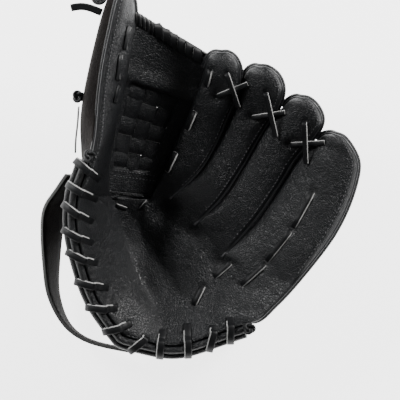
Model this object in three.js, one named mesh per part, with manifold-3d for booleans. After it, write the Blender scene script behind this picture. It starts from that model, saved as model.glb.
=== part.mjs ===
// Baseball glove for the left hand, lying on its back with the palm up. Millimetres, +Z up.
import * as THREE from "three";
import { mergeVertices } from "three/addons/utils/BufferGeometryUtils.js";
import Module from "manifold-3d";

const wasm = await Module();
wasm.setup();

// Overall sizes that the tables' shares refer to: across, heel to thumb tip, and floor to thumb tip
const GLOVE_WIDTH = 280;
const GLOVE_LENGTH = 329;
const GLOVE_HEIGHT = 125;
const HAND_AXIS_TURN_DEG = 35;

// Leather and padding
const EDGE_PAD = 3;
const PALM_PAD = 9;
const FINGER_PAD = 6.5;
const PAD_RISE = { across: 2, up: 5, digit: 3, tip: 4, crotch: 0.45 };
const WEB_RAILS = [0.5, 2.5];
const BACK_LEATHER = 2.5;
const WEB_LEATHER = 3;
const CLEARANCE = 0.45;

// Edge trim and laces
const ROLL_RADIUS = 2.8;
const WELT_RADIUS = 1.4;
const LACE_WIDTH = 4.8;
const LACE_THICKNESS = 1.6;
const LACE_LIFT = 0.8;
const HOLE_CLEARANCE = 1.4;
const BED_GAP = 0.3;
const HOLE_LENGTH = 4.4;
const HOLE_OVERRUN = 4;
const KNOT_RADIUS = 5;

// Mesh density
const SLOPE_STEP = 0.02;
const BLOCK_COLUMNS = 4;
const PALM_ROWS = 8;
const DIGIT_ROWS = 8;
const BACK_SECTION = 8;

// Palm rails from the heel edge to the finger roots. Columns: x, y, z shares
const PALM_RAILS = {
  outer_thumb: [
    [0.261, 0.086, 0.528],
    [0.182, 0.184, 0.608],
    [0.138, 0.294, 0.704],
    [0.119, 0.385, 0.768],
    [0.126, 0.457, 0.808],
  ],
  thumb_fold: [
    [0.368, 0.064, 0.496],
    [0.318, 0.198, 0.312],
    [0.267, 0.305, 0.264],
    [0.233, 0.385, 0.304],
    [0.214, 0.452, 0.376],
  ],
  pocket: [
    [0.428, 0.061, 0.488],
    [0.390, 0.198, 0.272],
    [0.346, 0.305, 0.216],
    [0.330, 0.374, 0.224],
    [0.336, 0.444, 0.272],
  ],
  index_middle: [
    [0.481, 0.072, 0.488],
    [0.453, 0.176, 0.320],
    [0.421, 0.294, 0.272],
    [0.409, 0.385, 0.272],
    [0.409, 0.455, 0.304],
  ],
  middle_ring: [
    [0.535, 0.088, 0.496],
    [0.516, 0.160, 0.368],
    [0.497, 0.251, 0.320],
    [0.487, 0.324, 0.304],
    [0.487, 0.385, 0.320],
  ],
  ring_pinky: [
    [0.588, 0.104, 0.504],
    [0.582, 0.144, 0.408],
    [0.575, 0.201, 0.360],
    [0.572, 0.251, 0.336],
    [0.572, 0.299, 0.336],
  ],
  outer_pinky: [
    [0.638, 0.118, 0.520],
    [0.682, 0.128, 0.544],
    [0.717, 0.158, 0.560],
    [0.752, 0.187, 0.568],
    [0.786, 0.219, 0.576],
  ],
};

// Digit sections from root to tip. Columns: left x, y, z, right x, y, z, crown (mm), underside z shares
const DIGITS = {
  thumb: {
    block: 0,
    sections: [
      [0.126, 0.457, 0.808, 0.214, 0.452, 0.376, 0, 0],
      [0.157, 0.529, 0.848, 0.211, 0.529, 0.448, 4, 0],
      [0.179, 0.610, 0.888, 0.223, 0.618, 0.528, 6, 0],
      [0.189, 0.711, 0.920, 0.252, 0.717, 0.608, 6, 0],
      [0.204, 0.805, 0.944, 0.274, 0.802, 0.672, 6, 0],
      [0.226, 0.893, 0.976, 0.289, 0.888, 0.736, 5, 0],
      [0.245, 0.963, 0.992, 0.292, 0.952, 0.808, 4, 0],
      [0.261, 0.992, 0.976, 0.283, 0.987, 0.896, 1, 0],
    ],
  },
  index: {
    block: 2,
    sections: [
      [0.336, 0.444, 0.272, 0.409, 0.455, 0.304, 0, 0],
      [0.371, 0.511, 0.304, 0.494, 0.524, 0.352, 8, 0],
      [0.409, 0.583, 0.352, 0.547, 0.599, 0.400, 10, 0.01],
      [0.453, 0.663, 0.424, 0.579, 0.663, 0.464, 11, 0.08],
      [0.491, 0.743, 0.528, 0.613, 0.730, 0.568, 11, 0.19],
      [0.513, 0.797, 0.624, 0.619, 0.783, 0.656, 10, 0.32],
      [0.525, 0.824, 0.672, 0.604, 0.818, 0.696, 7, 0.46],
      [0.547, 0.834, 0.696, 0.579, 0.832, 0.712, 2, 0.63],
    ],
  },
  middle: {
    block: 3,
    sections: [
      [0.409, 0.455, 0.304, 0.487, 0.385, 0.320, 0, 0],
      [0.503, 0.521, 0.296, 0.563, 0.452, 0.368, 8, 0],
      [0.557, 0.594, 0.336, 0.626, 0.532, 0.408, 10, 0],
      [0.594, 0.663, 0.400, 0.686, 0.620, 0.464, 11, 0.06],
      [0.619, 0.722, 0.480, 0.730, 0.679, 0.544, 11, 0.16],
      [0.632, 0.765, 0.560, 0.752, 0.733, 0.640, 10, 0.28],
      [0.648, 0.789, 0.608, 0.736, 0.773, 0.688, 7, 0.42],
      [0.670, 0.799, 0.632, 0.701, 0.794, 0.696, 2, 0.58],
    ],
  },
  ring: {
    block: 4,
    sections: [
      [0.487, 0.385, 0.320, 0.572, 0.299, 0.336, 0, 0],
      [0.569, 0.447, 0.304, 0.664, 0.388, 0.392, 8, 0],
      [0.632, 0.527, 0.344, 0.736, 0.476, 0.432, 10, 0],
      [0.692, 0.615, 0.408, 0.789, 0.551, 0.488, 11, 0.06],
      [0.733, 0.671, 0.480, 0.836, 0.599, 0.560, 11, 0.15],
      [0.761, 0.695, 0.536, 0.874, 0.650, 0.640, 10, 0.26],
      [0.780, 0.711, 0.576, 0.858, 0.690, 0.680, 7, 0.4],
      [0.802, 0.717, 0.600, 0.830, 0.711, 0.672, 2, 0.54],
    ],
  },
  pinky: {
    block: 5,
    sections: [
      [0.572, 0.299, 0.336, 0.786, 0.219, 0.576, 0, 0],
      [0.670, 0.382, 0.312, 0.846, 0.281, 0.592, 9, 0],
      [0.745, 0.471, 0.344, 0.906, 0.350, 0.608, 12, 0],
      [0.799, 0.545, 0.400, 0.950, 0.422, 0.632, 12, 0.06],
      [0.840, 0.586, 0.464, 0.978, 0.495, 0.664, 11, 0.15],
      [0.868, 0.607, 0.512, 0.984, 0.545, 0.688, 9, 0.26],
      [0.887, 0.618, 0.552, 0.959, 0.588, 0.704, 6, 0.38],
      [0.912, 0.620, 0.592, 0.937, 0.610, 0.688, 2, 0.5],
    ],
  },
};

// Dents that hands and laces press into the front. Columns: x, y shares, depth (mm), radius (mm)
const DENTS = [
  [0.384, 0.412, 5, 10],
  [0.472, 0.353, 4, 9],
  [0.560, 0.278, 3, 8],
  [0.550, 0.719, 2.5, 6],
  [0.660, 0.663, 2.5, 6],
  [0.780, 0.591, 2.5, 6],
];

const WEB_TOP_SHARE = 0.8;
const WEB_BASE_SAG = 0.4;
const WEB_SAG = 8;
const WEB_COLUMNS = 10;
const WEB_ROWS = 12;
const WINDOW = { left: 0.07, right: 0.79, bottom: 0.19, top: 0.63 };
const CROSS_STRAPS = 5;
const SLATS = 3;
const STRAP_THICKNESS = 1.1;
const WEAVE_LIFT = 0.8;
const WEAVE_GAP = 0.11;
const WEAVE_TURN = 0.07;
const STRAP_END = 0.1;
const SLAT_END = 0.05;
const WEB_GAP = 0.8;
const WEB_TUCK = 7;
const WEB_BASE_SHARE = 0.041;

// Heel whip stitches, thumb knot to heel knot. Columns: hole x, y shares, place along the heel edge
const HEEL_HOLES = [
  [0.182, 0.497, 0.06],
  [0.173, 0.444, 0.13],
  [0.160, 0.385, 0.2],
  [0.160, 0.329, 0.27],
  [0.173, 0.275, 0.33],
  [0.208, 0.209, 0.42],
  [0.236, 0.155, 0.49],
  [0.280, 0.115, 0.56],
  [0.327, 0.080, 0.63],
  [0.381, 0.096, 0.7],
  [0.456, 0.112, 0.79],
  [0.541, 0.107, 0.87],
  [0.591, 0.128, 0.94],
];

// Laces sewn through the front, up at the first hole and down at the next. Columns: x, y shares
const RUNNING_LACES = {
  pinky_lace: [
    [0.849, 0.465],
    [0.789, 0.372],
    [0.780, 0.361],
    [0.708, 0.283],
    [0.701, 0.273],
    [0.629, 0.217],
  ],
  palm_lace: [
    [0.594, 0.275],
    [0.544, 0.238],
    [0.506, 0.211],
    [0.478, 0.163],
  ],
  index_side_lace: [
    [0.528, 0.786],
    [0.516, 0.746],
    [0.481, 0.679],
    [0.456, 0.631],
    [0.421, 0.570],
    [0.393, 0.521],
  ],
  thumb_side_lace: [
    [0.277, 0.898],
    [0.264, 0.840],
    [0.252, 0.824],
    [0.242, 0.759],
    [0.245, 0.743],
    [0.233, 0.701],
  ],
  web_base_lace: [
    [0.233, 0.430],
    [0.264, 0.420],
    [0.308, 0.420],
    [0.330, 0.441],
  ],
};

// Finger ties: a tail over the groove from a hole, and a cross tie under it. Columns: x, y shares
const FINGER_TIES = {
  index_tie: { tail: [[0.579, 0.778], [0.616, 0.690]], cross: [[0.550, 0.719], [0.645, 0.751]] },
  middle_tie: { tail: [[0.701, 0.727], [0.733, 0.612]], cross: [[0.660, 0.663], [0.761, 0.676]] },
  ring_tie: { tail: [[0.821, 0.650], [0.827, 0.540]], cross: [[0.780, 0.591], [0.884, 0.596]] },
};

// Knots at the ends of the heel lace. Columns: x, y, z shares
const KNOTS = {
  thumb_knot: [0.157, 0.559, 0.898],
  heel_knot: [0.656, 0.099, 0.554],
};
const KNOT_CORD = 1.6;
const KNOT_RINGS = 24;
const KNOT_FLATTENING = 0.8;

// What stands off the thumb back's outer side. Columns: outward (mm), y, z shares
const THUMB_BACK_KNOT = [9, 0.719, 0.736];
const TAILS = {
  thumb_back_tail: {
    route: [[1.5, 0.690, 0.688], [1.7, 0.644, 0.640], [3.2, 0.604, 0.592], [6, 0.570, 0.560]],
    side: [0, 0, 1],
    width: LACE_WIDTH,
  },
  tip_strap: {
    route: [[0.5, 0.936, 0.832], [10, 0.947, 0.824], [20, 0.955, 0.816], [29, 0.949, 0.808]],
    side: [0, 1, 0.2],
    width: 6.5,
  },
};
const TAB_RADIUS = 7;
const TAB_HOLE = 2.2;
const TAB_SIDES = 18;
const TAB_TILT = 1.2;
const TAB_SPOT = [7.6, 0.976, 0.816];

// Wrist strap from the thumb side round under the wrist. Columns: x, y, z shares, lean (mm)
const WRIST_STRAP = [
  [0.091, 0.511, 0.496, -6],
  [0.063, 0.465, 0.480, -12],
  [0.038, 0.422, 0.448, -20],
  [0.031, 0.364, 0.384, -20],
  [0.028, 0.278, 0.304, -13],
  [0.033, 0.190, 0.240, -8],
  [0.075, 0.107, 0.216, -3],
  [0.151, 0.061, 0.208, 0],
  [0.280, 0.037, 0.208, 0],
];
const STRAP_WIDTH = 28;
const STRAP_LEATHER = 3;
const STRAP_STEPS = 24;

// Back panels
const TROUGH_CORNER = 0.6;
const CROWN_SKEW = 0.85;
const CROWN_SQUARENESS = 2.6;
const CROWN_FALL = 0.6;
const ROOT_FADE = 0.35;
const TIP_DEPTH = 7;
const ROOT_DROP = 2.6;
const SKIN_LEAN = 0.4;
const CAP_STEP = 0.5;
const THUMB_BACK_DEPTH = 30;
const THUMB_TIP_SHARE = 0.45;
const THUMB_TURN_SHARE = 0.35;
const THUMB_LEAN = 0.45;
const THUMB_BULGE = 5;
const THUMB_RIM_GAP = 1.5;
const HAND_BACK_ROWS = 6;
const HAND_BACK_GAP = 0.03;
const HAND_WALL_SHARE = 0.13;
const HAND_SHIFT_SHARE = 0.3;
const CROTCH_INSET = 0.17;
const CROTCH_GAP = 2.2;
const CROTCH_DROP = 2.5;

// Hand back columns from the pinky side. Columns: rails from the right, palm share it starts at, bulge (mm)
const HAND_BACK_COLUMNS = [
  [0, 0.1, 0],
  [0.04, 0.1, 0],
  [0.1, 0.11, 0],
  [0.22, 0.13, 0],
  [0.5, 0.18, 0],
  [1, 0.25, 0],
  [2, 0.38, 0],
  [3, 0.42, 0],
  [4, 0.43, 0],
  [5, 0.44, 0],
  [5.4, 0.45, 0.5],
  [5.65, 0.46, 2],
  [5.8, 0.47, 4.5],
  [5.9, 0.48, 5.5],
  [5.96, 0.48, 5],
  [6, 0.48, 0],
];

// Heel wing along the heel edge. Columns: outward (mm), share of the rim's height, share of the reach
const WING_SECTION = [
  [9.5, 1, 0],
  [13, 0.75, 0],
  [14.5, 0.45, 0],
  [13, 0.15, 0],
  [9, 0, 0],
  [5, 0, 0.3],
  [2, 0, 1],
];
const WING_START = 0.55;
const WING_END = 0.985;
const WING_COLUMNS = 10;
const WING_REACH = 16;
const WING_TAPER = 0.16;
const WING_DROP = 11.4;

// Heel rolls beside the heel edge: outward, rise
const FRONT_ROLL = [5.9, -1];
const BACK_ROLL = [10.4, -5.2];
const ROLL_STEPS = 22;
const ROLL_SIDES = 7;
const WELT_SIDES = 6;
const ROLL_START = 0.02;
const ROLL_END = 0.98;
const WELT_STAND = 1;
const WELT_TIP_STAND = 4;
const WELT_RETURN_ROWS = 1;
const MITRE_LIMIT = 0.6;
const STITCH_POINTS = 2;
const UNDER_SAG = 3;
const TIE_POINTS = 8;
const TIE_PROBES = [-1, 0, 1].flatMap((ahead) => [-1, 0, 1].map((sideways) => [ahead, sideways]));
const WHIP_SLIP = 3;
const WHIP_RIM = 1.5;
const RETURN_SAG = 4;

// Heel whip loop round both rolls from the heel edge. Columns: outward, rise
const WHIP_LOOP = [
  [0.3, 4],
  [5.9, 4],
  [12.2, 0.3],
  [15.7, -4.4],
  [13.4, -10.7],
  [5.6, -8.5],
];
const WEB_TURNS = 10;
const WEB_HOLE = 5.4;
const WEB_HOLE_SHIFT = 0.5;
const WEB_TURN_POINTS = 6;
const WEB_TURN_START = 0.06;
const WEB_TURN_END = 0.93;
const WEB_TURN_REACH = 5;
const WEB_TURN_SINK = 1.5;
const WEB_TURN_HEIGHT = 3.2;

// The heel edge: share that runs along the thumb, share at the corner, and the knot's place on the thumb
const THUMB_LEG = 0.12;
const HEEL_STEP = 0.03;
const HEEL_CORNER = 0.52;
const THUMB_KNOT_SHARE = 0.2;

const LEATHER = { color: 0x17181b, roughness: 0.5, metalness: 0 };
const LEATHER_BROWN = { color: 0x201c1b, roughness: 0.55, metalness: 0 };
const LACE = { color: 0x1b1c1f, roughness: 0.6, metalness: 0 };

const glove = new THREE.Group();
const palmView = new THREE.Group();
palmView.rotation.z = THREE.MathUtils.degToRad(HAND_AXIS_TURN_DEG);
glove.add(palmView);

const V = (x, y, z) => new THREE.Vector3(x, y, z);
const UP = V(0, 0, 1);
const DOWN = V(0, 0, -1);
const place = (x, y, z = 0) => V(x * GLOVE_WIDTH, y * GLOVE_LENGTH, z * GLOVE_HEIGHT);
const mix = (a, b, t) => a.clone().lerp(b, t);
const clamp01 = (t) => THREE.MathUtils.clamp(t, 0, 1);
const smooth = (t) => THREE.MathUtils.smoothstep(t, 0, 1);

// A smooth row of a table at t from 0 to 1
function splineRow(rows, t) {
  const last = rows.length - 1;
  const at = clamp01(t) * last;
  const i = Math.min(Math.floor(at), last - 1);
  const f = at - i;
  const [a, b, c, d] = [i - 1, i, i + 1, i + 2].map((k) => rows[THREE.MathUtils.clamp(k, 0, last)]);
  return b.map((value, k) => {
    const slope = c[k] - a[k];
    const curve = 2 * a[k] - 5 * value + 4 * c[k] - d[k];
    const twist = 3 * (value - c[k]) + d[k] - a[k];
    return 0.5 * (2 * value + slope * f + curve * f * f + twist * f * f * f);
  });
}

const RAILS = Object.values(PALM_RAILS);

// The palm surface: u counts rails from the thumb side, v runs from the heel to the finger roots
function palmPoint(u, v) {
  const row = RAILS.map((rail) => splineRow(rail, v));
  return place(...splineRow(row, u / (RAILS.length - 1)));
}

// A digit's section at t: its two seams, its crown and its underside
function digitSection(digit, t) {
  const [lx, ly, lz, rx, ry, rz, crown, floor] = splineRow(digit.sections, t);
  return {
    left: place(lx, ly, lz),
    right: place(rx, ry, rz),
    crown: Math.max(crown, 0),
    floor: Math.max(floor, 0) * GLOVE_HEIGHT,
  };
}

const archShape = (s) =>
  Math.pow(1 - Math.pow(Math.abs(2 * Math.pow(s, CROWN_SKEW) - 1), CROWN_SQUARENESS), CROWN_FALL);

// The way a digit's front faces at t
function digitOutward(digit, t) {
  const here = digitSection(digit, t);
  const next = digitSection(digit, Math.min(t + SLOPE_STEP, 1));
  const before = digitSection(digit, Math.max(t - SLOPE_STEP, 0));
  const along = mix(next.left, next.right, 0.5).sub(mix(before.left, before.right, 0.5));
  const across = here.right.clone().sub(here.left);
  return across.cross(along).normalize();
}

function digitPoint(digit, s, t) {
  const { left, right, crown } = digitSection(digit, t);
  const point = mix(left, right, s).addScaledVector(digitOutward(digit, t), crown * archShape(s));
  const root = digitSection(digit, 0);
  const fade = 1 - smooth(t / ROOT_FADE);
  const rootRow = palmPoint(digit.block + s, 1).sub(mix(root.left, root.right, s));
  return point.addScaledVector(rootRow, fade);
}

function dented(point) {
  const moved = point.clone();
  for (const [x, y, depth, radius] of DENTS) {
    const centre = place(x, y);
    const gone = Math.hypot(point.x - centre.x, point.y - centre.y) / radius;
    moved.z -= depth * Math.exp(-gone * gone);
  }
  return moved;
}

// Shared closed-body helpers
function meshGeometry(points, index) {
  const geometry = new THREE.BufferGeometry().setFromPoints(points);
  geometry.setIndex(index);
  return geometry;
}

// A sheet with an outer and an inner skin, closed by a wall along every free edge
function padGeometry(outer, inner, quads) {
  const n = outer.length;
  const index = [];
  const open = new Map();
  for (const [a, b, c, d] of quads) {
    index.push(a, b, c, a, c, d, n + a, n + c, n + b, n + a, n + d, n + c);
    for (const [p, q] of [[a, b], [b, c], [c, d], [d, a]]) {
      if (!open.delete(`${q},${p}`)) open.set(`${p},${q}`, [p, q]);
    }
  }
  for (const [p, q] of open.values()) index.push(q, p, n + p, q, n + p, n + q);
  return meshGeometry([...outer, ...inner], index);
}

function gridQuads(columns, rows, skip = () => false) {
  const quads = [];
  for (let j = 0; j < rows; j++) {
    for (let i = 0; i < columns; i++) {
      if (skip(i, j)) continue;
      const a = j * (columns + 1) + i;
      quads.push([a, a + 1, a + columns + 2, a + columns + 1]);
    }
  }
  return quads;
}

// Unit normals of the points of a quad sheet
function sheetNormals(points, quads) {
  const normals = points.map(() => V(0, 0, 0));
  for (const quad of quads) {
    const [a, b, c, d] = quad.map((k) => points[k]);
    const normal = c.clone().sub(a).cross(d.clone().sub(b));
    for (const k of quad) normals[k].add(normal);
  }
  return normals.map((normal) => normal.normalize());
}

function addMesh(name, geometry, look) {
  const mesh = new THREE.Mesh(geometry, new THREE.MeshStandardMaterial({ ...look, side: THREE.DoubleSide }));
  mesh.name = name;
  palmView.add(mesh);
  return mesh;
}

function toSolid(geometry) {
  const bare = geometry.clone();
  bare.deleteAttribute("normal");
  bare.deleteAttribute("uv");
  const merged = mergeVertices(bare, 1e-4);
  const made = new wasm.Manifold(
    new wasm.Mesh({
      numProp: 3,
      vertProperties: merged.attributes.position.array,
      triVerts: new Uint32Array(merged.index.array),
    }),
  );
  return made;
}

function fromSolid(solid) {
  const { vertProperties, triVerts } = solid.getMesh();
  const geometry = new THREE.BufferGeometry();
  geometry.setAttribute("position", new THREE.BufferAttribute(vertProperties, 3));
  geometry.setIndex(new THREE.BufferAttribute(triVerts, 1));
  return geometry;
}

// Front: palm, thumb and fingers in one padded piece
const frontPoints = [];
const frontPads = [];
const frontQuads = [];
const digitGrid = {};

function frontVertex(point, pad) {
  frontPoints.push(dented(point));
  frontPads.push(pad);
  return frontPoints.length - 1;
}

const palmColumns = BLOCK_COLUMNS * (RAILS.length - 1);
const palmGrid = [];
for (let j = 0; j <= PALM_ROWS; j++) {
  const v = j / PALM_ROWS;
  const row = [];
  for (let i = 0; i <= palmColumns; i++) {
    const u = i / BLOCK_COLUMNS;
    const rim = Math.min(u * PAD_RISE.across, (RAILS.length - 1 - u) * PAD_RISE.across, v * PAD_RISE.up, 1);
    const underWeb = u > WEB_RAILS[0] && u < WEB_RAILS[1];
    const crotch = underWeb ? clamp01((1 - v) * PAD_RISE.up) : 1;
    const fullness = Math.min(rim, THREE.MathUtils.lerp(PAD_RISE.crotch, 1, crotch));
    const depth = THREE.MathUtils.lerp(EDGE_PAD, PALM_PAD, smooth(fullness));
    row.push(frontVertex(palmPoint(u, v), depth));
  }
  palmGrid.push(row);
}
for (let j = 0; j < PALM_ROWS; j++) {
  for (let i = 0; i < palmColumns; i++) {
    frontQuads.push([palmGrid[j][i], palmGrid[j][i + 1], palmGrid[j + 1][i + 1], palmGrid[j + 1][i]]);
  }
}
for (const [name, digit] of Object.entries(DIGITS)) {
  const start = digit.block * BLOCK_COLUMNS;
  const grid = [palmGrid[PALM_ROWS].slice(start, start + BLOCK_COLUMNS + 1)];
  for (let j = 1; j <= DIGIT_ROWS; j++) {
    const t = j / DIGIT_ROWS;
    const row = [];
    for (let i = 0; i <= BLOCK_COLUMNS; i++) {
      const s = i / BLOCK_COLUMNS;
      const rim = Math.min(s * PAD_RISE.digit, (1 - s) * PAD_RISE.digit, (1 - t) * PAD_RISE.tip, 1);
      const outerEdge = (name === "thumb" && i === 0) || (name === "pinky" && i === BLOCK_COLUMNS);
      const edge = outerEdge ? EDGE_PAD : THREE.MathUtils.lerp(FINGER_PAD, EDGE_PAD, smooth(t / ROOT_FADE));
      row.push(frontVertex(digitPoint(digit, s, t), THREE.MathUtils.lerp(edge, FINGER_PAD, smooth(rim))));
    }
    grid.push(row);
    for (let i = 0; i < BLOCK_COLUMNS; i++) {
      frontQuads.push([grid[j - 1][i], grid[j - 1][i + 1], grid[j][i + 1], grid[j][i]]);
    }
  }
  digitGrid[name] = grid;
}
const frontNormals = sheetNormals(frontPoints, frontQuads);
const frontInner = frontPoints.map((p, k) => p.clone().addScaledVector(frontNormals[k], -frontPads[k]));
const frontGeometry = padGeometry(frontPoints, frontInner, frontQuads);

// A back panel is a shell under the front, given as sections from its right rim to its left rim
function shellGeometry(sections, rimWays = []) {
  const columns = sections[0].length - 1;
  const outer = sections.flat();
  const quads = gridQuads(columns, sections.length - 1);
  const normals = sheetNormals(outer, quads);
  const inner = outer.map((point, n) => {
    const k = n % (columns + 1);
    let way = normals[n].clone().negate();
    if (k === 0 || k === columns) {
      const other = outer[k === 0 ? n + columns : n - columns];
      const given = rimWays[(n - k) / (columns + 1)]?.[k === 0 ? 0 : 1];
      way = given ?? other.clone().sub(point).normalize();
    }
    return point.clone().addScaledVector(way, BACK_LEATHER);
  });
  return padGeometry(outer, inner, quads);
}

// How a trough runs across and down at step k of its section
function trough(k) {
  const c = Math.cos((Math.PI * k) / BACK_SECTION);
  return {
    across: 0.5 * (1 - Math.sign(c) * Math.pow(Math.abs(c), TROUGH_CORNER)),
    down: Math.pow(Math.sqrt(1 - c * c), TROUGH_CORNER),
  };
}

const steps = (count) => Array.from({ length: count + 1 }, (_, k) => k);

// The rim of a back panel under the front's inner skin, by the seam of a digit's row
function rimUnder(grid, j, column, away) {
  const k = grid[j][column];
  const rim = frontInner[k].clone().addScaledVector(away, CLEARANCE);
  const outerEdge = k === palmGrid[PALM_ROWS][0] || k === palmGrid[PALM_ROWS][palmColumns];
  return j === 0 && !outerEdge ? frontPoints[k].clone().setZ(rim.z - ROOT_DROP) : rim;
}

// The way the front's inner skin runs in from an edge, leaning down to stay clear of it
const skinWay = (edge, next) => {
  const inward = next.clone().sub(edge).normalize();
  return inward.addScaledVector(UP, -SKIN_LEAN).normalize();
};

// A finger's back: a trough from seam to seam, flat where it rests
function fingerBack(name, digit) {
  const grid = digitGrid[name];
  const sections = steps(DIGIT_ROWS).map((j) => {
    const { floor } = digitSection(digit, j / DIGIT_ROWS);
    const right = rimUnder(grid, j, BLOCK_COLUMNS, DOWN);
    const left = rimUnder(grid, j, 0, DOWN);
    return steps(BACK_SECTION).map((k) => {
      const { across, down } = trough(k);
      const point = mix(right, left, across);
      point.z -= down * (point.z - Math.min(floor, point.z - TIP_DEPTH));
      point.z = Math.max(point.z, 0);
      return point;
    });
  });
  return [...sections, capSection(sections)];
}

// The row that closes a back panel's tip up to its rim
function capSection(sections) {
  const tip = sections.at(-1);
  const ahead = tip[0].clone().sub(sections.at(-2)[0]).normalize().multiplyScalar(CAP_STEP);
  return steps(BACK_SECTION).map((k) => {
    const { across } = trough(k);
    return mix(tip[0], tip.at(-1), across).add(ahead).add(V(0, 0, -CAP_STEP));
  });
}

// The thumb's back: a trough at its root that turns into a roll round the thumb's outer side
function thumbBack(digit) {
  const grid = digitGrid.thumb;
  const sections = steps(DIGIT_ROWS).map((j) => {
    const t = j / DIGIT_ROWS;
    const behind = digitOutward(digit, t).negate();
    const turned = smooth(t / THUMB_TURN_SHARE);
    const away = mix(DOWN, behind, turned).normalize();
    const right = rimUnder(grid, j, BLOCK_COLUMNS, away).addScaledVector(away, THUMB_RIM_GAP);
    const left = rimUnder(grid, j, 0, away);
    const depth = THUMB_BACK_DEPTH * THREE.MathUtils.lerp(1, THUMB_TIP_SHARE, Math.pow(t, 4));
    return steps(BACK_SECTION).map((k) => {
      const { across, down } = trough(k);
      const chord = mix(right, left, across);
      const below = chord.clone().setZ(chord.z * (1 - down));
      const outward = left.clone().sub(right).setZ(0).normalize();
      below.addScaledVector(outward, THUMB_BULGE * Math.sqrt(down) * across);
      const round = chord.clone().addScaledVector(behind, depth * down * (1 - THUMB_LEAN * across));
      return mix(below, round, turned);
    });
  });
  return [...sections, capSection(sections)];
}

// A point of the hand's back: straight between the palm rails, so that it meets the finger backs
function handBackPoint(u, v) {
  const i = Math.min(Math.floor(u), RAILS.length - 2);
  const [a, b] = [i, i + 1].map((k) => place(...splineRow(RAILS[k], v)));
  return mix(a, b, u - i);
}

// The front's edge at v on its outer column: outer point and inner point
function palmEdge(column, v) {
  const at = clamp01(v) * PALM_ROWS;
  const j = Math.min(Math.floor(at), PALM_ROWS - 1);
  const [a, b] = [palmGrid[j][column], palmGrid[j + 1][column]];
  return {
    outer: mix(frontPoints[a], frontPoints[b], at - j),
    inner: mix(frontInner[a], frontInner[b], at - j),
  };
}

const handRowShare = (startShare, j) =>
  THREE.MathUtils.lerp(startShare, 1 - HAND_BACK_GAP, j / HAND_BACK_ROWS);

function handBackWays() {
  return steps(HAND_BACK_ROWS).map((j) => {
    const ends = [HAND_BACK_COLUMNS[0], HAND_BACK_COLUMNS.at(-1)];
    return ends.map(([fromRight, startShare]) => {
      const v = handRowShare(startShare, j);
      const [column, next] = fromRight === 0 ? [palmColumns, palmColumns - 1] : [0, 1];
      return skinWay(palmEdge(column, v).inner, palmEdge(next, v).inner);
    });
  });
}

// The outward way beside the thumb edge of the palm
function heelOut(v) {
  const along = palmEdge(0, v + SLOPE_STEP).outer.sub(palmEdge(0, v - SLOPE_STEP).outer);
  return V(-along.y, along.x, 0).normalize();
}

function handBack() {
  const last = RAILS.length - 1;
  return steps(HAND_BACK_ROWS).map((j) =>
    HAND_BACK_COLUMNS.map(([fromRight, startShare, bulge]) => {
      const u = last - fromRight;
      const v = handRowShare(startShare, j);
      const inset = Math.min(u, last - u);
      const edge = palmEdge(u < last / 2 ? 0 : palmColumns, v);
      const shift = edge.inner.clone().sub(edge.outer).setZ(0);
      const rimHeight = edge.inner.z - 3 * CLEARANCE;
      const height = rimHeight * Math.exp(-inset / HAND_WALL_SHARE);
      const point = handBackPoint(u, v).addScaledVector(shift, Math.exp(-inset / HAND_SHIFT_SHARE));
      point.addScaledVector(heelOut(v), bulge);
      return point.setZ(height < BACK_LEATHER / 2 ? 0 : height);
    }),
  );
}

// The panel that closes the hand below the web, from the front's crotch edge to the floor
function crotchPoint(a, b) {
  const edge = palmPoint(1 + THREE.MathUtils.lerp(CROTCH_INSET, 1 - CROTCH_INSET, a), 1);
  edge.y += CROTCH_GAP;
  return edge.setZ((edge.z - CROTCH_DROP) * b);
}

// The heel edge from the thumb knot to the heel knot: its point and its outward way
function heelEdge(share) {
  const at = (x) => {
    if (x < THUMB_LEG) return digitPoint(DIGITS.thumb, 0, THUMB_KNOT_SHARE * (1 - x / THUMB_LEG));
    if (x < HEEL_CORNER) return palmPoint(0, (HEEL_CORNER - x) / (HEEL_CORNER - THUMB_LEG));
    return palmPoint(((x - HEEL_CORNER) / (1 - HEEL_CORNER)) * (RAILS.length - 1), 0);
  };
  const along = at(Math.min(share + HEEL_STEP, 1)).sub(at(Math.max(share - HEEL_STEP, 0)));
  return { point: at(share), out: V(along.y, -along.x, 0).normalize() };
}

const beside = (share, out, rise) => {
  const edge = heelEdge(share);
  return edge.point.clone().addScaledVector(edge.out, out).add(V(0, 0, rise));
};

function heelWing() {
  return steps(WING_COLUMNS).map((n) => {
    const share = THREE.MathUtils.lerp(WING_START, WING_END, n / WING_COLUMNS);
    const reach = WING_REACH * clamp01((WING_END - share) / WING_TAPER);
    const top = heelEdge(share).point.z - WING_DROP;
    return WING_SECTION.map(([out, height, inward]) =>
      beside(share, out - inward * reach, 0).setZ(height * top),
    );
  });
}

// A round cord through points
function cord(points, radius, sides) {
  const curve = new THREE.CatmullRomCurve3(points, false, "centripetal");
  const rings = points.length - 1;
  return closeTube(new THREE.TubeGeometry(curve, rings, radius, sides, false), rings, sides);
}

// A tube's two open ends, closed with fans
function closeTube(tube, rings, sides) {
  const merged = tube.clone();
  merged.deleteAttribute("normal");
  merged.deleteAttribute("uv");
  const position = merged.attributes.position;
  const points = [];
  for (let ring = 0; ring <= rings; ring++) {
    for (let side = sides; side > 0; side--) {
      points.push(new THREE.Vector3().fromBufferAttribute(position, ring * (sides + 1) + side));
    }
  }
  return ringsGeometry(points, rings, sides);
}

// A closed body from rings of points, turning right-handed about the way it runs
function ringsGeometry(points, rings, sides) {
  const index = [];
  for (let ring = 0; ring < rings; ring++) {
    for (let side = 0; side < sides; side++) {
      const a = ring * sides + side;
      const b = ring * sides + ((side + 1) % sides);
      index.push(a, b, b + sides, a, b + sides, a + sides);
    }
  }
  for (let side = 1; side < sides - 1; side++) {
    index.push(0, side + 1, side);
    const end = rings * sides;
    index.push(end, end + side, end + side + 1);
  }
  return meshGeometry(points, index);
}

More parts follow.
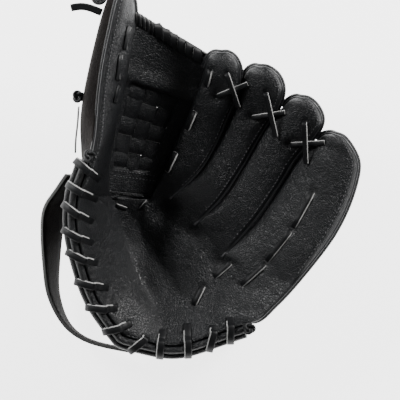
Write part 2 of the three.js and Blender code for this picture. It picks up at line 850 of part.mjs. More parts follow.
// A flat strip through points, with the side way given at each point
function strip(points, sideWays, width, thickness) {
  const rings = [];
  points.forEach((point, n) => {
    const before = points[Math.max(n - 1, 0)];
    const after = points[Math.min(n + 1, points.length - 1)];
    const into = point.clone().sub(before).normalize();
    const outOf = after.clone().sub(point).normalize();
    const along = into.clone().add(outOf).normalize();
    const side = sideWays[n].clone().addScaledVector(along, -sideWays[n].dot(along)).normalize();
    const face = side.clone().cross(along).normalize();
    const mitre = n === 0 || n === points.length - 1 ? 1 : 1 / Math.max(along.dot(outOf), MITRE_LIMIT);
    for (const [across, through] of [[-1, -1], [-1, 1], [1, 1], [1, -1]]) {
      const corner = point.clone().addScaledVector(side, (across * width) / 2);
      rings.push(corner.addScaledVector(face, (through * thickness * mitre) / 2));
    }
  });
  return ringsGeometry(rings, points.length - 1, 4);
}

// Front solid, kept for the holes that the laces cut
const frontMesh = new THREE.Mesh(frontGeometry, new THREE.MeshStandardMaterial({ side: THREE.DoubleSide }));
frontMesh.updateMatrixWorld();

for (const [name, digit] of Object.entries(DIGITS)) {
  if (name !== "thumb") addMesh(`${name}_back`, shellGeometry(fingerBack(name, digit)), LEATHER);
}
const thumbWays = digitGrid.thumb.map((row) => [
  skinWay(frontInner[row[BLOCK_COLUMNS]], frontInner[row[BLOCK_COLUMNS - 1]]),
  skinWay(frontInner[row[0]], frontInner[row[1]]),
]);
addMesh("thumb_back", shellGeometry(thumbBack(DIGITS.thumb), thumbWays), LEATHER_BROWN);
addMesh("hand_back", shellGeometry(handBack(), handBackWays()), LEATHER);
const crotchColumns = steps(BLOCK_COLUMNS).map((i) => i / BLOCK_COLUMNS);
addMesh("crotch_panel", sheetAt(crotchPoint, crotchColumns, [0, 1], BACK_LEATHER), LEATHER);
addMesh("heel_wing", shellGeometry(heelWing()), LEATHER);
const rollShares = steps(ROLL_STEPS).map((n) => THREE.MathUtils.lerp(ROLL_START, ROLL_END, n / ROLL_STEPS));
for (const [name, offset] of Object.entries({ heel_roll_front: FRONT_ROLL, heel_roll_back: BACK_ROLL })) {
  const route = rollShares.map((share) => beside(share, ...offset));
  addMesh(name, cord(route, ROLL_RADIUS, ROLL_SIDES), LEATHER);
}

// Welts along the seams: up the right side, round the tip and down to the notch
function weltPoints(name) {
  const grid = digitGrid[name];
  const route = [];
  const column = name === "thumb" ? 0 : BLOCK_COLUMNS;
  const other = BLOCK_COLUMNS - column;
  for (let j = name === "thumb" ? 3 : 1; j <= DIGIT_ROWS; j++) route.push([j, column]);
  for (let i = 1; i < BLOCK_COLUMNS; i++) {
    route.push([DIGIT_ROWS, column === 0 ? i : BLOCK_COLUMNS - i]);
  }
  for (let j = DIGIT_ROWS; j > DIGIT_ROWS - WELT_RETURN_ROWS; j--) route.push([j, other]);
  const nearTip = grid[DIGIT_ROWS - 2];
  const centre = mix(frontPoints[nearTip[0]], frontPoints[nearTip[BLOCK_COLUMNS]], 0.5);
  return route.map(([j, i]) => {
    const k = grid[j][i];
    const across = frontPoints[grid[j][column]].clone().sub(frontPoints[grid[j][other]]).normalize();
    let out = i === column ? across : across.negate();
    if (j === DIGIT_ROWS) out = frontPoints[k].clone().sub(centre).normalize();
    const behind = frontNormals[k].clone().negate();
    out = out.addScaledVector(frontNormals[k], -out.dot(frontNormals[k])).normalize();
    return frontPoints[k]
      .clone()
      .addScaledVector(behind, EDGE_PAD / 2)
      .addScaledVector(out, WELT_RADIUS + (j < DIGIT_ROWS - 1 ? WELT_STAND : WELT_TIP_STAND));
  });
}
for (const name of Object.keys(DIGITS)) {
  addMesh(`${name}_welt`, cord(weltPoints(name), WELT_RADIUS, WELT_SIDES), LEATHER);
}

// Web: a sagging panel between the thumb's inner edge and the index finger's seam
function webPoint(a, b) {
  const t = b * WEB_TOP_SHARE;
  const left = digitSection(DIGITS.thumb, Math.max(t, WEB_BASE_SHARE)).right.add(V(WEB_GAP, 0, -1));
  const right = digitSection(DIGITS.index, Math.max(t, WEB_BASE_SHARE)).left.add(V(-WEB_GAP, 0, -WEB_TUCK));
  const point = mix(left, right, a);
  point.z -= WEB_SAG * Math.sin(Math.PI * a) * THREE.MathUtils.lerp(WEB_BASE_SAG, 1, b);
  return point;
}

function webNormal(a, b) {
  const across = webPoint(a + SLOPE_STEP, b).sub(webPoint(a - SLOPE_STEP, b));
  const ahead = Math.min(b + SLOPE_STEP, 1);
  const along = webPoint(a, ahead).sub(webPoint(a, ahead - 2 * SLOPE_STEP));
  return across.cross(along).normalize();
}

const webShares = (cuts, count) => {
  const shares = new Set(cuts);
  for (const k of steps(count)) {
    if (cuts.every((cut) => Math.abs(cut - k / count) > 0.4 / count)) shares.add(k / count);
  }
  return [...shares].sort((p, q) => p - q);
};

function sheetAt(pointAt, columns, rows, thickness, skip) {
  const outer = rows.flatMap((b) => columns.map((a) => pointAt(a, b)));
  const quads = gridQuads(columns.length - 1, rows.length - 1, skip);
  const normals = sheetNormals(outer, gridQuads(columns.length - 1, rows.length - 1));
  const used = [...new Set(quads.flat())];
  const index = new Map(used.map((k, n) => [k, n]));
  const top = used.map((k) => outer[k]);
  const under = used.map((k) => outer[k].clone().addScaledVector(normals[k], -thickness));
  return padGeometry(top, under, quads.map((quad) => quad.map((k) => index.get(k))));
}

const webColumns = webShares([0, WINDOW.left, WINDOW.right, 1], WEB_COLUMNS);
const webRows = webShares([0, WINDOW.bottom, WINDOW.top, 1], WEB_ROWS);
const inWindow = (i, j) =>
  webColumns[i] >= WINDOW.left &&
  webColumns[i + 1] <= WINDOW.right &&
  webRows[j] >= WINDOW.bottom &&
  webRows[j + 1] <= WINDOW.top;
addMesh("web_panel", sheetAt(webPoint, webColumns, webRows, WEB_LEATHER, inWindow), LEATHER);

// Basket weave in the window: cross straps over and under upright slats, their ends under the panel
const WEAVE_DEPTH = WEB_LEATHER + WEAVE_LIFT + CLEARANCE;
const across = (share) => THREE.MathUtils.lerp(WINDOW.left, WINDOW.right, share);
const upward = (share) => THREE.MathUtils.lerp(WINDOW.bottom, WINDOW.top, share);
const wovenPoint = (a, b, lift) => webPoint(a, b).addScaledVector(webNormal(a, b), lift - WEAVE_DEPTH);

// Shares along a woven piece and its lift there: level over each crossing, turning between crossings
function weaveStops(count, first, end) {
  const stops = [[-end, 1], [-WEAVE_TURN / count, 1]];
  for (let n = 0; n < count; n++) {
    const lift = (n + first) % 2 === 0 ? 1 : -1;
    stops.push([(n + WEAVE_TURN) / count, lift], [(n + 1 - WEAVE_TURN) / count, lift]);
  }
  return [...stops, [1 + WEAVE_TURN / count, 1], [1 + end, 1]];
}

const band = (n, count) => [(n + WEAVE_GAP) / count, (n + 1 - WEAVE_GAP) / count];
for (let row = 0; row < CROSS_STRAPS; row++) {
  const stops = weaveStops(SLATS, row, STRAP_END);
  const pointAt = (n, b) => wovenPoint(across(stops[n][0]), b, stops[n][1] * WEAVE_LIFT);
  const rows = band(row, CROSS_STRAPS).map(upward);
  const strap = sheetAt(pointAt, steps(stops.length - 1), rows, STRAP_THICKNESS);
  addMesh(`cross_strap_${row + 1}`, strap, LEATHER);
}
for (let column = 0; column < SLATS; column++) {
  const stops = weaveStops(CROSS_STRAPS, column + 1, SLAT_END);
  const pointAt = (a, n) => wovenPoint(a, upward(stops[n][0]), stops[n][1] * WEAVE_LIFT);
  const columns = band(column, SLATS).map(across);
  const slat = sheetAt(pointAt, columns, steps(stops.length - 1), STRAP_THICKNESS);
  addMesh(`web_slat_${column + 1}`, slat, LEATHER);
}

// Wrist strap from the thumb side's wall, out and round under the wrist, to inside the heel wing
const strapRows = steps(STRAP_STEPS).map((n) => splineRow(WRIST_STRAP, n / STRAP_STEPS));
addMesh(
  "wrist_strap",
  strip(
    strapRows.map(([x, y, z]) => place(x, y, z)),
    strapRows.map(([, , , lean]) => V(lean, 0, STRAP_WIDTH).normalize()),
    STRAP_WIDTH,
    STRAP_LEATHER,
  ),
  LEATHER_BROWN,
);

// Laces. A seat is a point on the leather seen from above, with the way the leather faces there
const caster = new THREE.Raycaster();
function castDown(mesh, x, y) {
  caster.set(V(x, y, 2 * GLOVE_HEIGHT), DOWN);
  return caster.intersectObject(mesh)[0];
}

function seatOn(mesh, point) {
  const hit = castDown(mesh, point.x, point.y);
  const normal = hit.face.normal.clone();
  if (normal.z < 0) normal.negate();
  caster.set(hit.point.clone().addScaledVector(normal, -0.05), normal.clone().negate());
  const beneath = caster.intersectObject(mesh)[0];
  return { top: hit.point, normal, under: beneath ? beneath.point : hit.point };
}

const LACE_STAND = LACE_THICKNESS / 2 + LACE_LIFT;
const above = (seat) => seat.top.clone().addScaledVector(seat.normal, LACE_STAND);
const below = (seat) => seat.under.clone().addScaledVector(seat.normal, -LACE_STAND);

// Points between two seats that keep a lace clear of the leather over its whole width
function overLeather(mesh, from, to, side) {
  const points = [];
  for (let n = 1; n < STITCH_POINTS; n++) {
    const level = mix(above(from), above(to), n / STITCH_POINTS);
    const { normal } = seatOn(mesh, level);
    const short = [-0.5, 0, 0.5].map((share) => {
      const probe = level.clone().addScaledVector(side, share * LACE_WIDTH);
      return LACE_STAND - probe.sub(seatOn(mesh, probe).top).dot(normal);
    });
    points.push(level.addScaledVector(normal, Math.max(...short, 0)));
  }
  return points;
}

const holeCutters = [];
function drill(seat, side) {
  const depth = seat.top.distanceTo(seat.under) + 2 * HOLE_OVERRUN;
  const box = new THREE.BoxGeometry(LACE_WIDTH + HOLE_CLEARANCE, HOLE_LENGTH, depth);
  const across = side.clone().addScaledVector(seat.normal, -side.dot(seat.normal)).normalize();
  const frame = new THREE.Matrix4().makeBasis(across, seat.normal.clone().cross(across), seat.normal);
  box.applyMatrix4(frame.setPosition(mix(seat.top, seat.under, 0.5)));
  holeCutters.push(box);
}

// The way back under the leather between two holes
function underRun(from, to) {
  return [1 / 3, 2 / 3].map((share) => {
    const seat = seatOn(frontMesh, mix(from.top, to.top, share));
    return below(seat).addScaledVector(seat.normal, -UNDER_SAG);
  });
}

const sideOf = (from, to, normal) => to.clone().sub(from).cross(normal).normalize();

// A lace sewn up and down through the front, one hole after another
function runningLace(holes) {
  const seats = holes.map(([x, y]) => seatOn(frontMesh, place(x, y)));
  const points = [];
  const sides = [];
  const put = (side, ...added) => added.forEach((point) => points.push(point) && sides.push(side));
  for (let n = 0; n + 1 < seats.length; n += 2) {
    const [up, down] = [seats[n], seats[n + 1]];
    const side = sideOf(up.top, down.top, mix(up.normal, down.normal, 0.5));
    drill(up, side);
    drill(down, side);
    if (n > 0) put(side, ...underRun(seats[n - 1], up));
    put(side, below(up), above(up));
    put(side, ...overLeather(frontMesh, up, down, side));
    put(side, above(down), below(down));
  }
  return strip(points, sides, LACE_WIDTH, LACE_THICKNESS);
}

for (const [name, holes] of Object.entries(RUNNING_LACES)) {
  addMesh(name, runningLace(holes), LACE);
}

// Finger ties: the cross tie bridges the groove, and the tail lies over it
function bridge(from, to, meshes) {
  const start = seatOn(frontMesh, place(...from));
  const ends = [start, seatOn(frontMesh, place(...to))];
  const level = ends.map(above);
  const side = sideOf(level[0], level[1], UP);
  drill(start, side);
  const reach = (0.5 * level[0].distanceTo(level[1])) / TIE_POINTS;
  const along = level[1].clone().sub(level[0]).normalize();
  const points = steps(TIE_POINTS - 1).map((n) => {
    const point = mix(level[0], level[1], (n + 1) / TIE_POINTS);
    for (const [ahead, sideways] of TIE_PROBES) {
      const probe = point.clone().addScaledVector(along, ahead * reach);
      probe.addScaledVector(side, (sideways * LACE_WIDTH) / 2);
      for (const mesh of meshes) {
        const hit = castDown(mesh, probe.x, probe.y);
        if (hit) point.z = Math.max(point.z, hit.point.z + LACE_STAND);
      }
    }
    return point;
  });
  points.unshift(below(start), above(start));
  return strip(points, points.map(() => side), LACE_WIDTH, LACE_THICKNESS);
}

const welts = palmView.children.filter((mesh) => mesh.name.endsWith("_welt"));
for (const [name, tie] of Object.entries(FINGER_TIES)) {
  const cross = addMesh(`${name}_cross`, bridge(...tie.cross, [frontMesh, ...welts]), LACE);
  addMesh(`${name}_tail`, bridge(...tie.tail, [frontMesh, ...welts, cross]), LACE);
}

// Heel whip lace: up through the front, out over both rolls, round and back under
const whip = { points: [], sides: [], wallHoles: [] };
let lastSeat = null;
for (const [x, y, share] of HEEL_HOLES) {
  const seat = seatOn(frontMesh, place(x, y));
  const { out } = heelEdge(share);
  const side = V(-out.y, out.x, 0);
  drill(seat, side);
  const loop = WHIP_LOOP.map(([outward, rise]) => beside(share, outward, rise));
  const under = lastSeat ? underRun(lastSeat, seat) : [];
  lastSeat = seat;
  const rim = seatOn(frontMesh, beside(share, -WHIP_RIM, 0));
  const over = [above(seat), ...overLeather(frontMesh, seat, rim, side), above(rim)];
  const foot = below(seat).addScaledVector(side, WHIP_SLIP);
  const back = [loop.at(-1), mix(loop.at(-1), foot, 0.5).addScaledVector(seat.normal, -RETURN_SAG), foot];
  const wrap = [...under, below(seat), ...over, ...loop, ...back.slice(1)];
  const wallRoom = [LACE_WIDTH + HOLE_CLEARANCE, HOLE_LENGTH];
  whip.wallHoles.push(strip(back, [side, side, side], ...wallRoom));
  for (const point of wrap) {
    whip.points.push(point);
    whip.sides.push(side);
  }
}
addMesh("heel_lace", strip(whip.points, whip.sides, LACE_WIDTH, LACE_THICKNESS), LACE);
// Cuts the room that laces need out of a leather piece
function cutMesh(name, cutters) {
  const mesh = palmView.children.find((child) => child.name === name);
  let solid = toSolid(mesh.geometry);
  for (const cutter of cutters) solid = solid.subtract(toSolid(cutter));
  mesh.geometry = fromSolid(solid);
}

// Web top lace: turns round the web's top edge
const topTurns = steps(WEB_TURNS * WEB_TURN_POINTS).map((n) => {
  const angle = (2 * Math.PI * n) / WEB_TURN_POINTS;
  const a = THREE.MathUtils.lerp(WEB_TURN_START, WEB_TURN_END, n / (WEB_TURNS * WEB_TURN_POINTS));
  const top = webPoint(a, 1).addScaledVector(webNormal(a, 1), -WEB_LEATHER / 2);
  const ahead = webPoint(a, 1).sub(webPoint(a, 1 - 2 * SLOPE_STEP)).normalize();
  return top
    .addScaledVector(ahead, Math.cos(angle) * WEB_TURN_REACH - WEB_TURN_SINK)
    .addScaledVector(webNormal(a, 1), Math.sin(angle) * WEB_TURN_HEIGHT);
});
const topSides = topTurns.map((_, n) => webPoint(0.6, 1).sub(webPoint(0.4, 1)).normalize());
addMesh("web_top_lace", strip(topTurns, topSides, LACE_WIDTH, LACE_THICKNESS), LACE);
const topHoles = steps(WEB_TURNS - 1).map((n) => {
  const at = topTurns[WEB_TURN_POINTS * n + WEB_TURN_POINTS / 2];
  const normal = webNormal(0.5, 1);
  const box = new THREE.BoxGeometry(LACE_WIDTH + HOLE_CLEARANCE, WEB_HOLE, 4 * WEB_LEATHER);
  const frame = new THREE.Matrix4().makeBasis(topSides[0], normal.clone().cross(topSides[0]), normal);
  const ahead = webPoint(0.5, 1).sub(webPoint(0.5, 1 - 2 * SLOPE_STEP)).normalize();
  return box.applyMatrix4(frame.setPosition(at.clone().addScaledVector(ahead, WEB_HOLE_SHIFT)));
});

// Lace knots, the tails that leave them, and the holed tab and strap at the thumb's tip
function knot(name, at) {
  const loops = new THREE.TorusKnotGeometry(KNOT_RADIUS, KNOT_CORD, KNOT_RINGS, 4, 2, 3);
  loops.scale(1, 1, KNOT_FLATTENING);
  loops.translate(...at.toArray());
  addMesh(name, loops, LACE);
}

// The thumb back's outer side at a height, stepped out by a distance
const thumbBackMesh = palmView.children.find((mesh) => mesh.name === "thumb_back");
thumbBackMesh.updateMatrixWorld();
function besideThumb(out, y, z) {
  const from = place(0, y, z);
  caster.set(from.clone().setX(-GLOVE_WIDTH), V(1, 0, 0));
  return from.setX(caster.intersectObject(thumbBackMesh)[0].point.x - out);
}

for (const [name, spot] of Object.entries(KNOTS)) knot(name, place(...spot));
knot("thumb_back_knot", besideThumb(...THUMB_BACK_KNOT));
for (const [name, { route, side, width }] of Object.entries(TAILS)) {
  const points = route.map((row) => besideThumb(...row));
  addMesh(name, strip(points, points.map(() => V(...side)), width, LACE_THICKNESS), LACE);
}

const tab = new THREE.CylinderGeometry(TAB_RADIUS, TAB_RADIUS, BACK_LEATHER, TAB_SIDES);
const tabHole = new THREE.CylinderGeometry(TAB_HOLE, TAB_HOLE, 2 * BACK_LEATHER, TAB_SIDES);
const tabRing = fromSolid(toSolid(tab).subtract(toSolid(tabHole)));
tabRing.rotateX(TAB_TILT);
tabRing.translate(...besideThumb(...TAB_SPOT).toArray());
addMesh("holed_tab", tabRing, LEATHER);

addMesh("palm_front", frontGeometry, LEATHER);
cutMesh("palm_front", holeCutters);
cutMesh("hand_back", whip.wallHoles);
cutMesh("thumb_back", whip.wallHoles);
cutMesh("web_panel", topHoles);

// Presses a lace in where it lies against leather, and leaves it a small gap
function bed(name, leather, gap) {
  const { geometry } = palmView.children.find((child) => child.name === leather);
  cutMesh(name, [geometry, geometry.clone().translate(0, 0, gap)]);
}
bed("heel_lace", "palm_front", -BED_GAP);
bed("heel_lace", "hand_back", BED_GAP);
bed("heel_lace", "heel_roll_back", -BED_GAP);
bed("index_side_lace", "palm_front", BED_GAP);
bed("web_top_lace", "web_panel", 0);

// The origin is at the bottom centre of the glove's box
glove.updateMatrixWorld(true);
const bounds = new THREE.Box3().setFromObject(glove, true);
const middle = bounds.getCenter(new THREE.Vector3());
palmView.position.set(-middle.x, -middle.y, -bounds.min.z);

export default glove;
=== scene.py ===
"""A black leather baseball glove for the left hand, lying on its back with the palm up.

Metres, +Z up, in the CAD's frame. Shapes are worked out in millimetres in the palm's own plan and then
turned into that frame.
"""

import logging
import math
from dataclasses import dataclass
from enum import Enum
from typing import Callable, Iterable, Sequence

import bmesh
import bpy
from mathutils import Matrix, Vector, noise
from mathutils.bvhtree import BVHTree

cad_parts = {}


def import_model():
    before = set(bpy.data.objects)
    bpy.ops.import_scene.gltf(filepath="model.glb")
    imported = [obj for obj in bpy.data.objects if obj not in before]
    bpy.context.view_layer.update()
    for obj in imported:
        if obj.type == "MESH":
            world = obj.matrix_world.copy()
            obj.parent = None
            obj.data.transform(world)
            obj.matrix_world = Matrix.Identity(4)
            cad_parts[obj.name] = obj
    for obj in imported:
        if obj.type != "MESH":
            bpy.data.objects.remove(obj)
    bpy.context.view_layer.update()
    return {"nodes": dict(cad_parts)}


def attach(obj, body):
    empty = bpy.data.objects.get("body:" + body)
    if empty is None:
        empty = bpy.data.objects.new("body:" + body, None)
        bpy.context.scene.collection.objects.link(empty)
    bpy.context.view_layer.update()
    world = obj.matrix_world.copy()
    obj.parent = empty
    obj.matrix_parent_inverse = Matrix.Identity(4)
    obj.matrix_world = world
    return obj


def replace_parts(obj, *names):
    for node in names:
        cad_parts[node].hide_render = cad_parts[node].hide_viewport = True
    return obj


LOG = logging.getLogger("glove")
MM = 0.001

# Overall sizes that the tables' shares refer to, and how the palm's plan sits in the CAD's frame
GLOVE_WIDTH = 280
GLOVE_LENGTH = 329
GLOVE_HEIGHT = 125
HAND_AXIS_TURN = math.radians(35)
PLAN_ORIGIN = Vector((6.85, -184.85, 0))

# The window in the web, in shares across and along it
WINDOW_LEFT, WINDOW_RIGHT = 0.07, 0.79
WINDOW_BOTTOM, WINDOW_TOP = 0.19, 0.63

# Leather and laces, and the distance between the rings of swept pieces, in millimetres
FRONT_LEATHER = 2.6
LACE_WIDTH = 4.8
LACE_THICKNESS = 1.5
LACE_STAND = 1.5
RING_PITCH = 1.1

# Shares of a swept piece's route between which its upper side is told from its under side
FACING_FROM, FACING_TO = 0.25, 0.3

# Shares: where the palm's folds end, and how a digit's front is crowned and leaves the palm
FOLD_TOP = 0.48
FOLD_RIGHT = 0.56
CROWN_SKEW = 0.85
CROWN_SQUARENESS = 2.6
CROWN_FALL = 0.6
ROOT_FADE = 0.35
SLOPE_STEP = 0.02

# Palm rails from the heel edge to the finger roots. Columns: x, y, z shares
PALM_RAILS = {
  "outer_thumb": [
    [0.261, 0.086, 0.528], [0.182, 0.184, 0.608], [0.138, 0.294, 0.704], [0.119, 0.385, 0.768],
    [0.126, 0.457, 0.808],
  ],
  "thumb_fold": [
    [0.368, 0.064, 0.496], [0.318, 0.198, 0.312], [0.267, 0.305, 0.264], [0.233, 0.385, 0.304],
    [0.214, 0.452, 0.376],
  ],
  "pocket": [
    [0.428, 0.061, 0.488], [0.390, 0.198, 0.272], [0.346, 0.305, 0.216], [0.330, 0.374, 0.224],
    [0.336, 0.444, 0.272],
  ],
  "index_middle": [
    [0.481, 0.072, 0.488], [0.453, 0.176, 0.320], [0.421, 0.294, 0.272], [0.409, 0.385, 0.272],
    [0.409, 0.455, 0.304],
  ],
  "middle_ring": [
    [0.535, 0.088, 0.496], [0.516, 0.160, 0.368], [0.497, 0.251, 0.320], [0.487, 0.324, 0.304],
    [0.487, 0.385, 0.320],
  ],
  "ring_pinky": [
    [0.588, 0.104, 0.504], [0.582, 0.144, 0.408], [0.575, 0.201, 0.360], [0.572, 0.251, 0.336],
    [0.572, 0.299, 0.336],
  ],
  "outer_pinky": [
    [0.638, 0.118, 0.520], [0.682, 0.128, 0.544], [0.717, 0.158, 0.560], [0.752, 0.187, 0.568],
    [0.786, 0.219, 0.576],
  ],
}

# Digit sections from root to tip. Columns: left x, y, z, right x, y, z, crown (mm), underside z shares
DIGITS = {
  "thumb": {
    "block": 0,
    "sections": [
      [0.126, 0.457, 0.808, 0.214, 0.452, 0.376, 0, 0],
      [0.157, 0.529, 0.848, 0.211, 0.529, 0.448, 4, 0],
      [0.179, 0.610, 0.888, 0.223, 0.618, 0.528, 6, 0],
      [0.189, 0.711, 0.920, 0.252, 0.717, 0.608, 6, 0],
      [0.204, 0.805, 0.944, 0.274, 0.802, 0.672, 6, 0],
      [0.226, 0.893, 0.976, 0.289, 0.888, 0.736, 5, 0],
      [0.245, 0.963, 0.992, 0.292, 0.952, 0.808, 4, 0],
      [0.261, 0.992, 0.976, 0.283, 0.987, 0.896, 1, 0],
    ],
  },
  "index": {
    "block": 2,
    "sections": [
      [0.336, 0.444, 0.272, 0.409, 0.455, 0.304, 0, 0],
      [0.371, 0.511, 0.304, 0.494, 0.524, 0.352, 8, 0],
      [0.409, 0.583, 0.352, 0.547, 0.599, 0.400, 10, 0.01],
      [0.453, 0.663, 0.424, 0.579, 0.663, 0.464, 11, 0.08],
      [0.491, 0.743, 0.528, 0.613, 0.730, 0.568, 11, 0.19],
      [0.513, 0.797, 0.624, 0.619, 0.783, 0.656, 10, 0.32],
      [0.525, 0.824, 0.672, 0.604, 0.818, 0.696, 7, 0.46],
      [0.547, 0.834, 0.696, 0.579, 0.832, 0.712, 2, 0.63],
    ],
  },
  "middle": {
    "block": 3,
    "sections": [
      [0.409, 0.455, 0.304, 0.487, 0.385, 0.320, 0, 0],
      [0.503, 0.521, 0.296, 0.563, 0.452, 0.368, 8, 0],
      [0.557, 0.594, 0.336, 0.626, 0.532, 0.408, 10, 0],
      [0.594, 0.663, 0.400, 0.686, 0.620, 0.464, 11, 0.06],
      [0.619, 0.722, 0.480, 0.730, 0.679, 0.544, 11, 0.16],
      [0.632, 0.765, 0.560, 0.752, 0.733, 0.640, 10, 0.28],
      [0.648, 0.789, 0.608, 0.736, 0.773, 0.688, 7, 0.42],
      [0.670, 0.799, 0.632, 0.701, 0.794, 0.696, 2, 0.58],
    ],
  },
  "ring": {
    "block": 4,
    "sections": [
      [0.487, 0.385, 0.320, 0.572, 0.299, 0.336, 0, 0],
      [0.569, 0.447, 0.304, 0.664, 0.388, 0.392, 8, 0],
      [0.632, 0.527, 0.344, 0.736, 0.476, 0.432, 10, 0],
      [0.692, 0.615, 0.408, 0.789, 0.551, 0.488, 11, 0.06],
      [0.733, 0.671, 0.480, 0.836, 0.599, 0.560, 11, 0.15],
      [0.761, 0.695, 0.536, 0.874, 0.650, 0.640, 10, 0.26],
      [0.780, 0.711, 0.576, 0.858, 0.690, 0.680, 7, 0.4],
      [0.802, 0.717, 0.600, 0.830, 0.711, 0.672, 2, 0.54],
    ],
  },
  "pinky": {
    "block": 5,
    "sections": [
      [0.572, 0.299, 0.336, 0.786, 0.219, 0.576, 0, 0],
      [0.670, 0.382, 0.312, 0.846, 0.281, 0.592, 9, 0],
      [0.745, 0.471, 0.344, 0.906, 0.350, 0.608, 12, 0],
      [0.799, 0.545, 0.400, 0.950, 0.422, 0.632, 12, 0.06],
      [0.840, 0.586, 0.464, 0.978, 0.495, 0.664, 11, 0.15],
      [0.868, 0.607, 0.512, 0.984, 0.545, 0.688, 9, 0.26],
      [0.887, 0.618, 0.552, 0.959, 0.588, 0.704, 6, 0.38],
      [0.912, 0.620, 0.592, 0.937, 0.610, 0.688, 2, 0.5],
    ],
  },
}

# Dents that hands and laces press into the front. Columns: x, y shares, depth (mm), radius (mm)
DENTS = [
  [0.384, 0.412, 5, 10],
  [0.472, 0.353, 4, 9],
  [0.560, 0.278, 3, 8],
  [0.550, 0.719, 2.5, 6],
  [0.660, 0.663, 2.5, 6],
  [0.780, 0.591, 2.5, 6],
]

# Folds worn into the palm by closing the hand. Columns: x, y shares, depth (mm), reach (mm)
PALM_FOLDS = [
  [
    [0.236, 0.420, 0.0, 5], [0.252, 0.360, 2.6, 6], [0.280, 0.290, 3.4, 6], [0.318, 0.214, 3.0, 6],
    [0.400, 0.120, 0.5, 6],
  ],
  [
    [0.286, 0.420, 0.0, 7], [0.300, 0.380, 3.2, 8], [0.330, 0.315, 3.6, 9], [0.380, 0.262, 1.5, 8],
    [0.430, 0.232, 0.0, 8],
  ],
  [[0.345, 0.330, 0.0, 13], [0.380, 0.250, -2.2, 15], [0.420, 0.190, 0.0, 13]],
  [[0.270, 0.200, 0.0, 8], [0.305, 0.160, -2.4, 9], [0.340, 0.140, 0.0, 8]],
]

# The web's top lace in two stretches. Columns: turns, from, to across the web, lace width, reach (mm)
WEB_WRAPS = [
  [4, 0.03, 0.27, 3.6, 5.4],
  [6, 0.30, 0.97, 8.3, 6.2],
]

# Heel whip stitches, thumb knot to heel knot. Columns: hole x, y shares, place along the heel edge, slant
HEEL_HOLES = [
  [0.182, 0.497, 0.06, 0.034],
  [0.173, 0.444, 0.13, 0.034],
  [0.160, 0.385, 0.2, 0.034],
  [0.160, 0.329, 0.27, 0.034],
  [0.173, 0.275, 0.33, 0.034],
  [0.208, 0.209, 0.42, 0.052],
  [0.236, 0.155, 0.49, 0.066],
  [0.280, 0.115, 0.56, 0.08],
  [0.327, 0.080, 0.63, 0.085],
  [0.381, 0.096, 0.7, 0.09],
  [0.456, 0.112, 0.79, 0.08],
  [0.541, 0.107, 0.87, 0.07],
  [0.591, 0.128, 0.94, 0.04],
]

# Laces sewn through the front, up at the first hole and down at the next. Columns: x, y shares
RUNNING_LACES = {
  "pinky_lace": [
    [0.849, 0.465], [0.789, 0.372], [0.780, 0.361], [0.708, 0.283], [0.701, 0.273], [0.629, 0.217],
  ],
  "palm_lace": [
    [0.594, 0.275], [0.544, 0.238], [0.506, 0.211], [0.478, 0.163],
  ],
  "index_side_lace": [
    [0.528, 0.786], [0.516, 0.746], [0.481, 0.679], [0.456, 0.631], [0.421, 0.570], [0.393, 0.521],
  ],
  "thumb_side_lace": [
    [0.277, 0.898], [0.264, 0.840], [0.252, 0.824], [0.242, 0.759], [0.245, 0.743], [0.233, 0.701],
  ],
  "web_base_lace": [
    [0.233, 0.430], [0.264, 0.420], [0.308, 0.420], [0.330, 0.441],
  ],
}

# Finger ties: a tail over the groove from a hole, and a cross tie under it. Columns: x, y shares
FINGER_TIES = {
  "index_tie": { "tail": [[0.579, 0.778], [0.616, 0.690]], "cross": [[0.550, 0.719], [0.645, 0.751]] },
  "middle_tie": { "tail": [[0.701, 0.727], [0.733, 0.612]], "cross": [[0.660, 0.663], [0.761, 0.676]] },
  "ring_tie": { "tail": [[0.821, 0.650], [0.827, 0.540]], "cross": [[0.780, 0.591], [0.884, 0.596]] },
}

# Heel whip loop round both rolls from the heel edge. Columns: outward, rise (mm)
WHIP_LOOP = [
  [0.3, 3.7], [5.2, 3.5], [9.7, 1.4], [12.7, -1.8], [14.2, -5.6], [12.2, -9.4], [5.6, -9],
]

# The studio's lights. Columns: place (m), size (m), power (W), colour
LIGHTS = {
  "key": [(0.42, 1.16, 0.64), 0.5, 25, (1, 0.99, 0.98)],
  "left": [(-1.0, 0.05, 0.66), 0.45, 13.5, (1, 1, 1)],
  "top": [(-0.15, 0.35, 1.6), 0.3, 0.9, (0.96, 0.98, 1)],
}

# Points closer than JOIN are one point, and edges shorter than SLIVER go, in metres
JOIN = 0.02 * MM
SLIVER = 0.05 * MM

UP = Vector((0, 0, 1))
Point = Callable[[float, float], Vector]


class Tone(Enum):
    """The leathers and threads that the glove is made of."""

    BLACK = "leather_black"
    BROWN = "leather_brown"
    LACE = "lace"


def lerp(low: float, high: float, share: float) -> float:
    """Returns the value at a share of the way from low to high."""
    return low + (high - low) * share


def clamp(value: float, low: float = 0.0, high: float = 1.0) -> float:
    """Returns value held between low and high."""
    return min(max(value, low), high)


def smooth(share: float) -> float:
    """Returns a share eased in and out between 0 and 1."""
    share = clamp(share)
    return share * share * (3 - 2 * share)


def spline_row(rows: Sequence[Sequence[float]], share: float) -> list[float]:
    """Reads a table smoothly between its rows.

    Args:
        rows: The table's rows.
        share: How far down the table, from 0 to 1.

    Returns:
        One value for each column.
    """
    last = len(rows) - 1
    at = clamp(share) * last
    i = min(int(at), last - 1)
    f = at - i
    a, b, c, d = (rows[int(clamp(k, 0, last))] for k in (i - 1, i, i + 1, i + 2))
    return [
        0.5 * (2 * q + (r - p) * f + (2 * p - 5 * q + 4 * r - s) * f * f + (3 * (q - r) + s - p) * f**3)
        for p, q, r, s in zip(a, b, c, d)
    ]


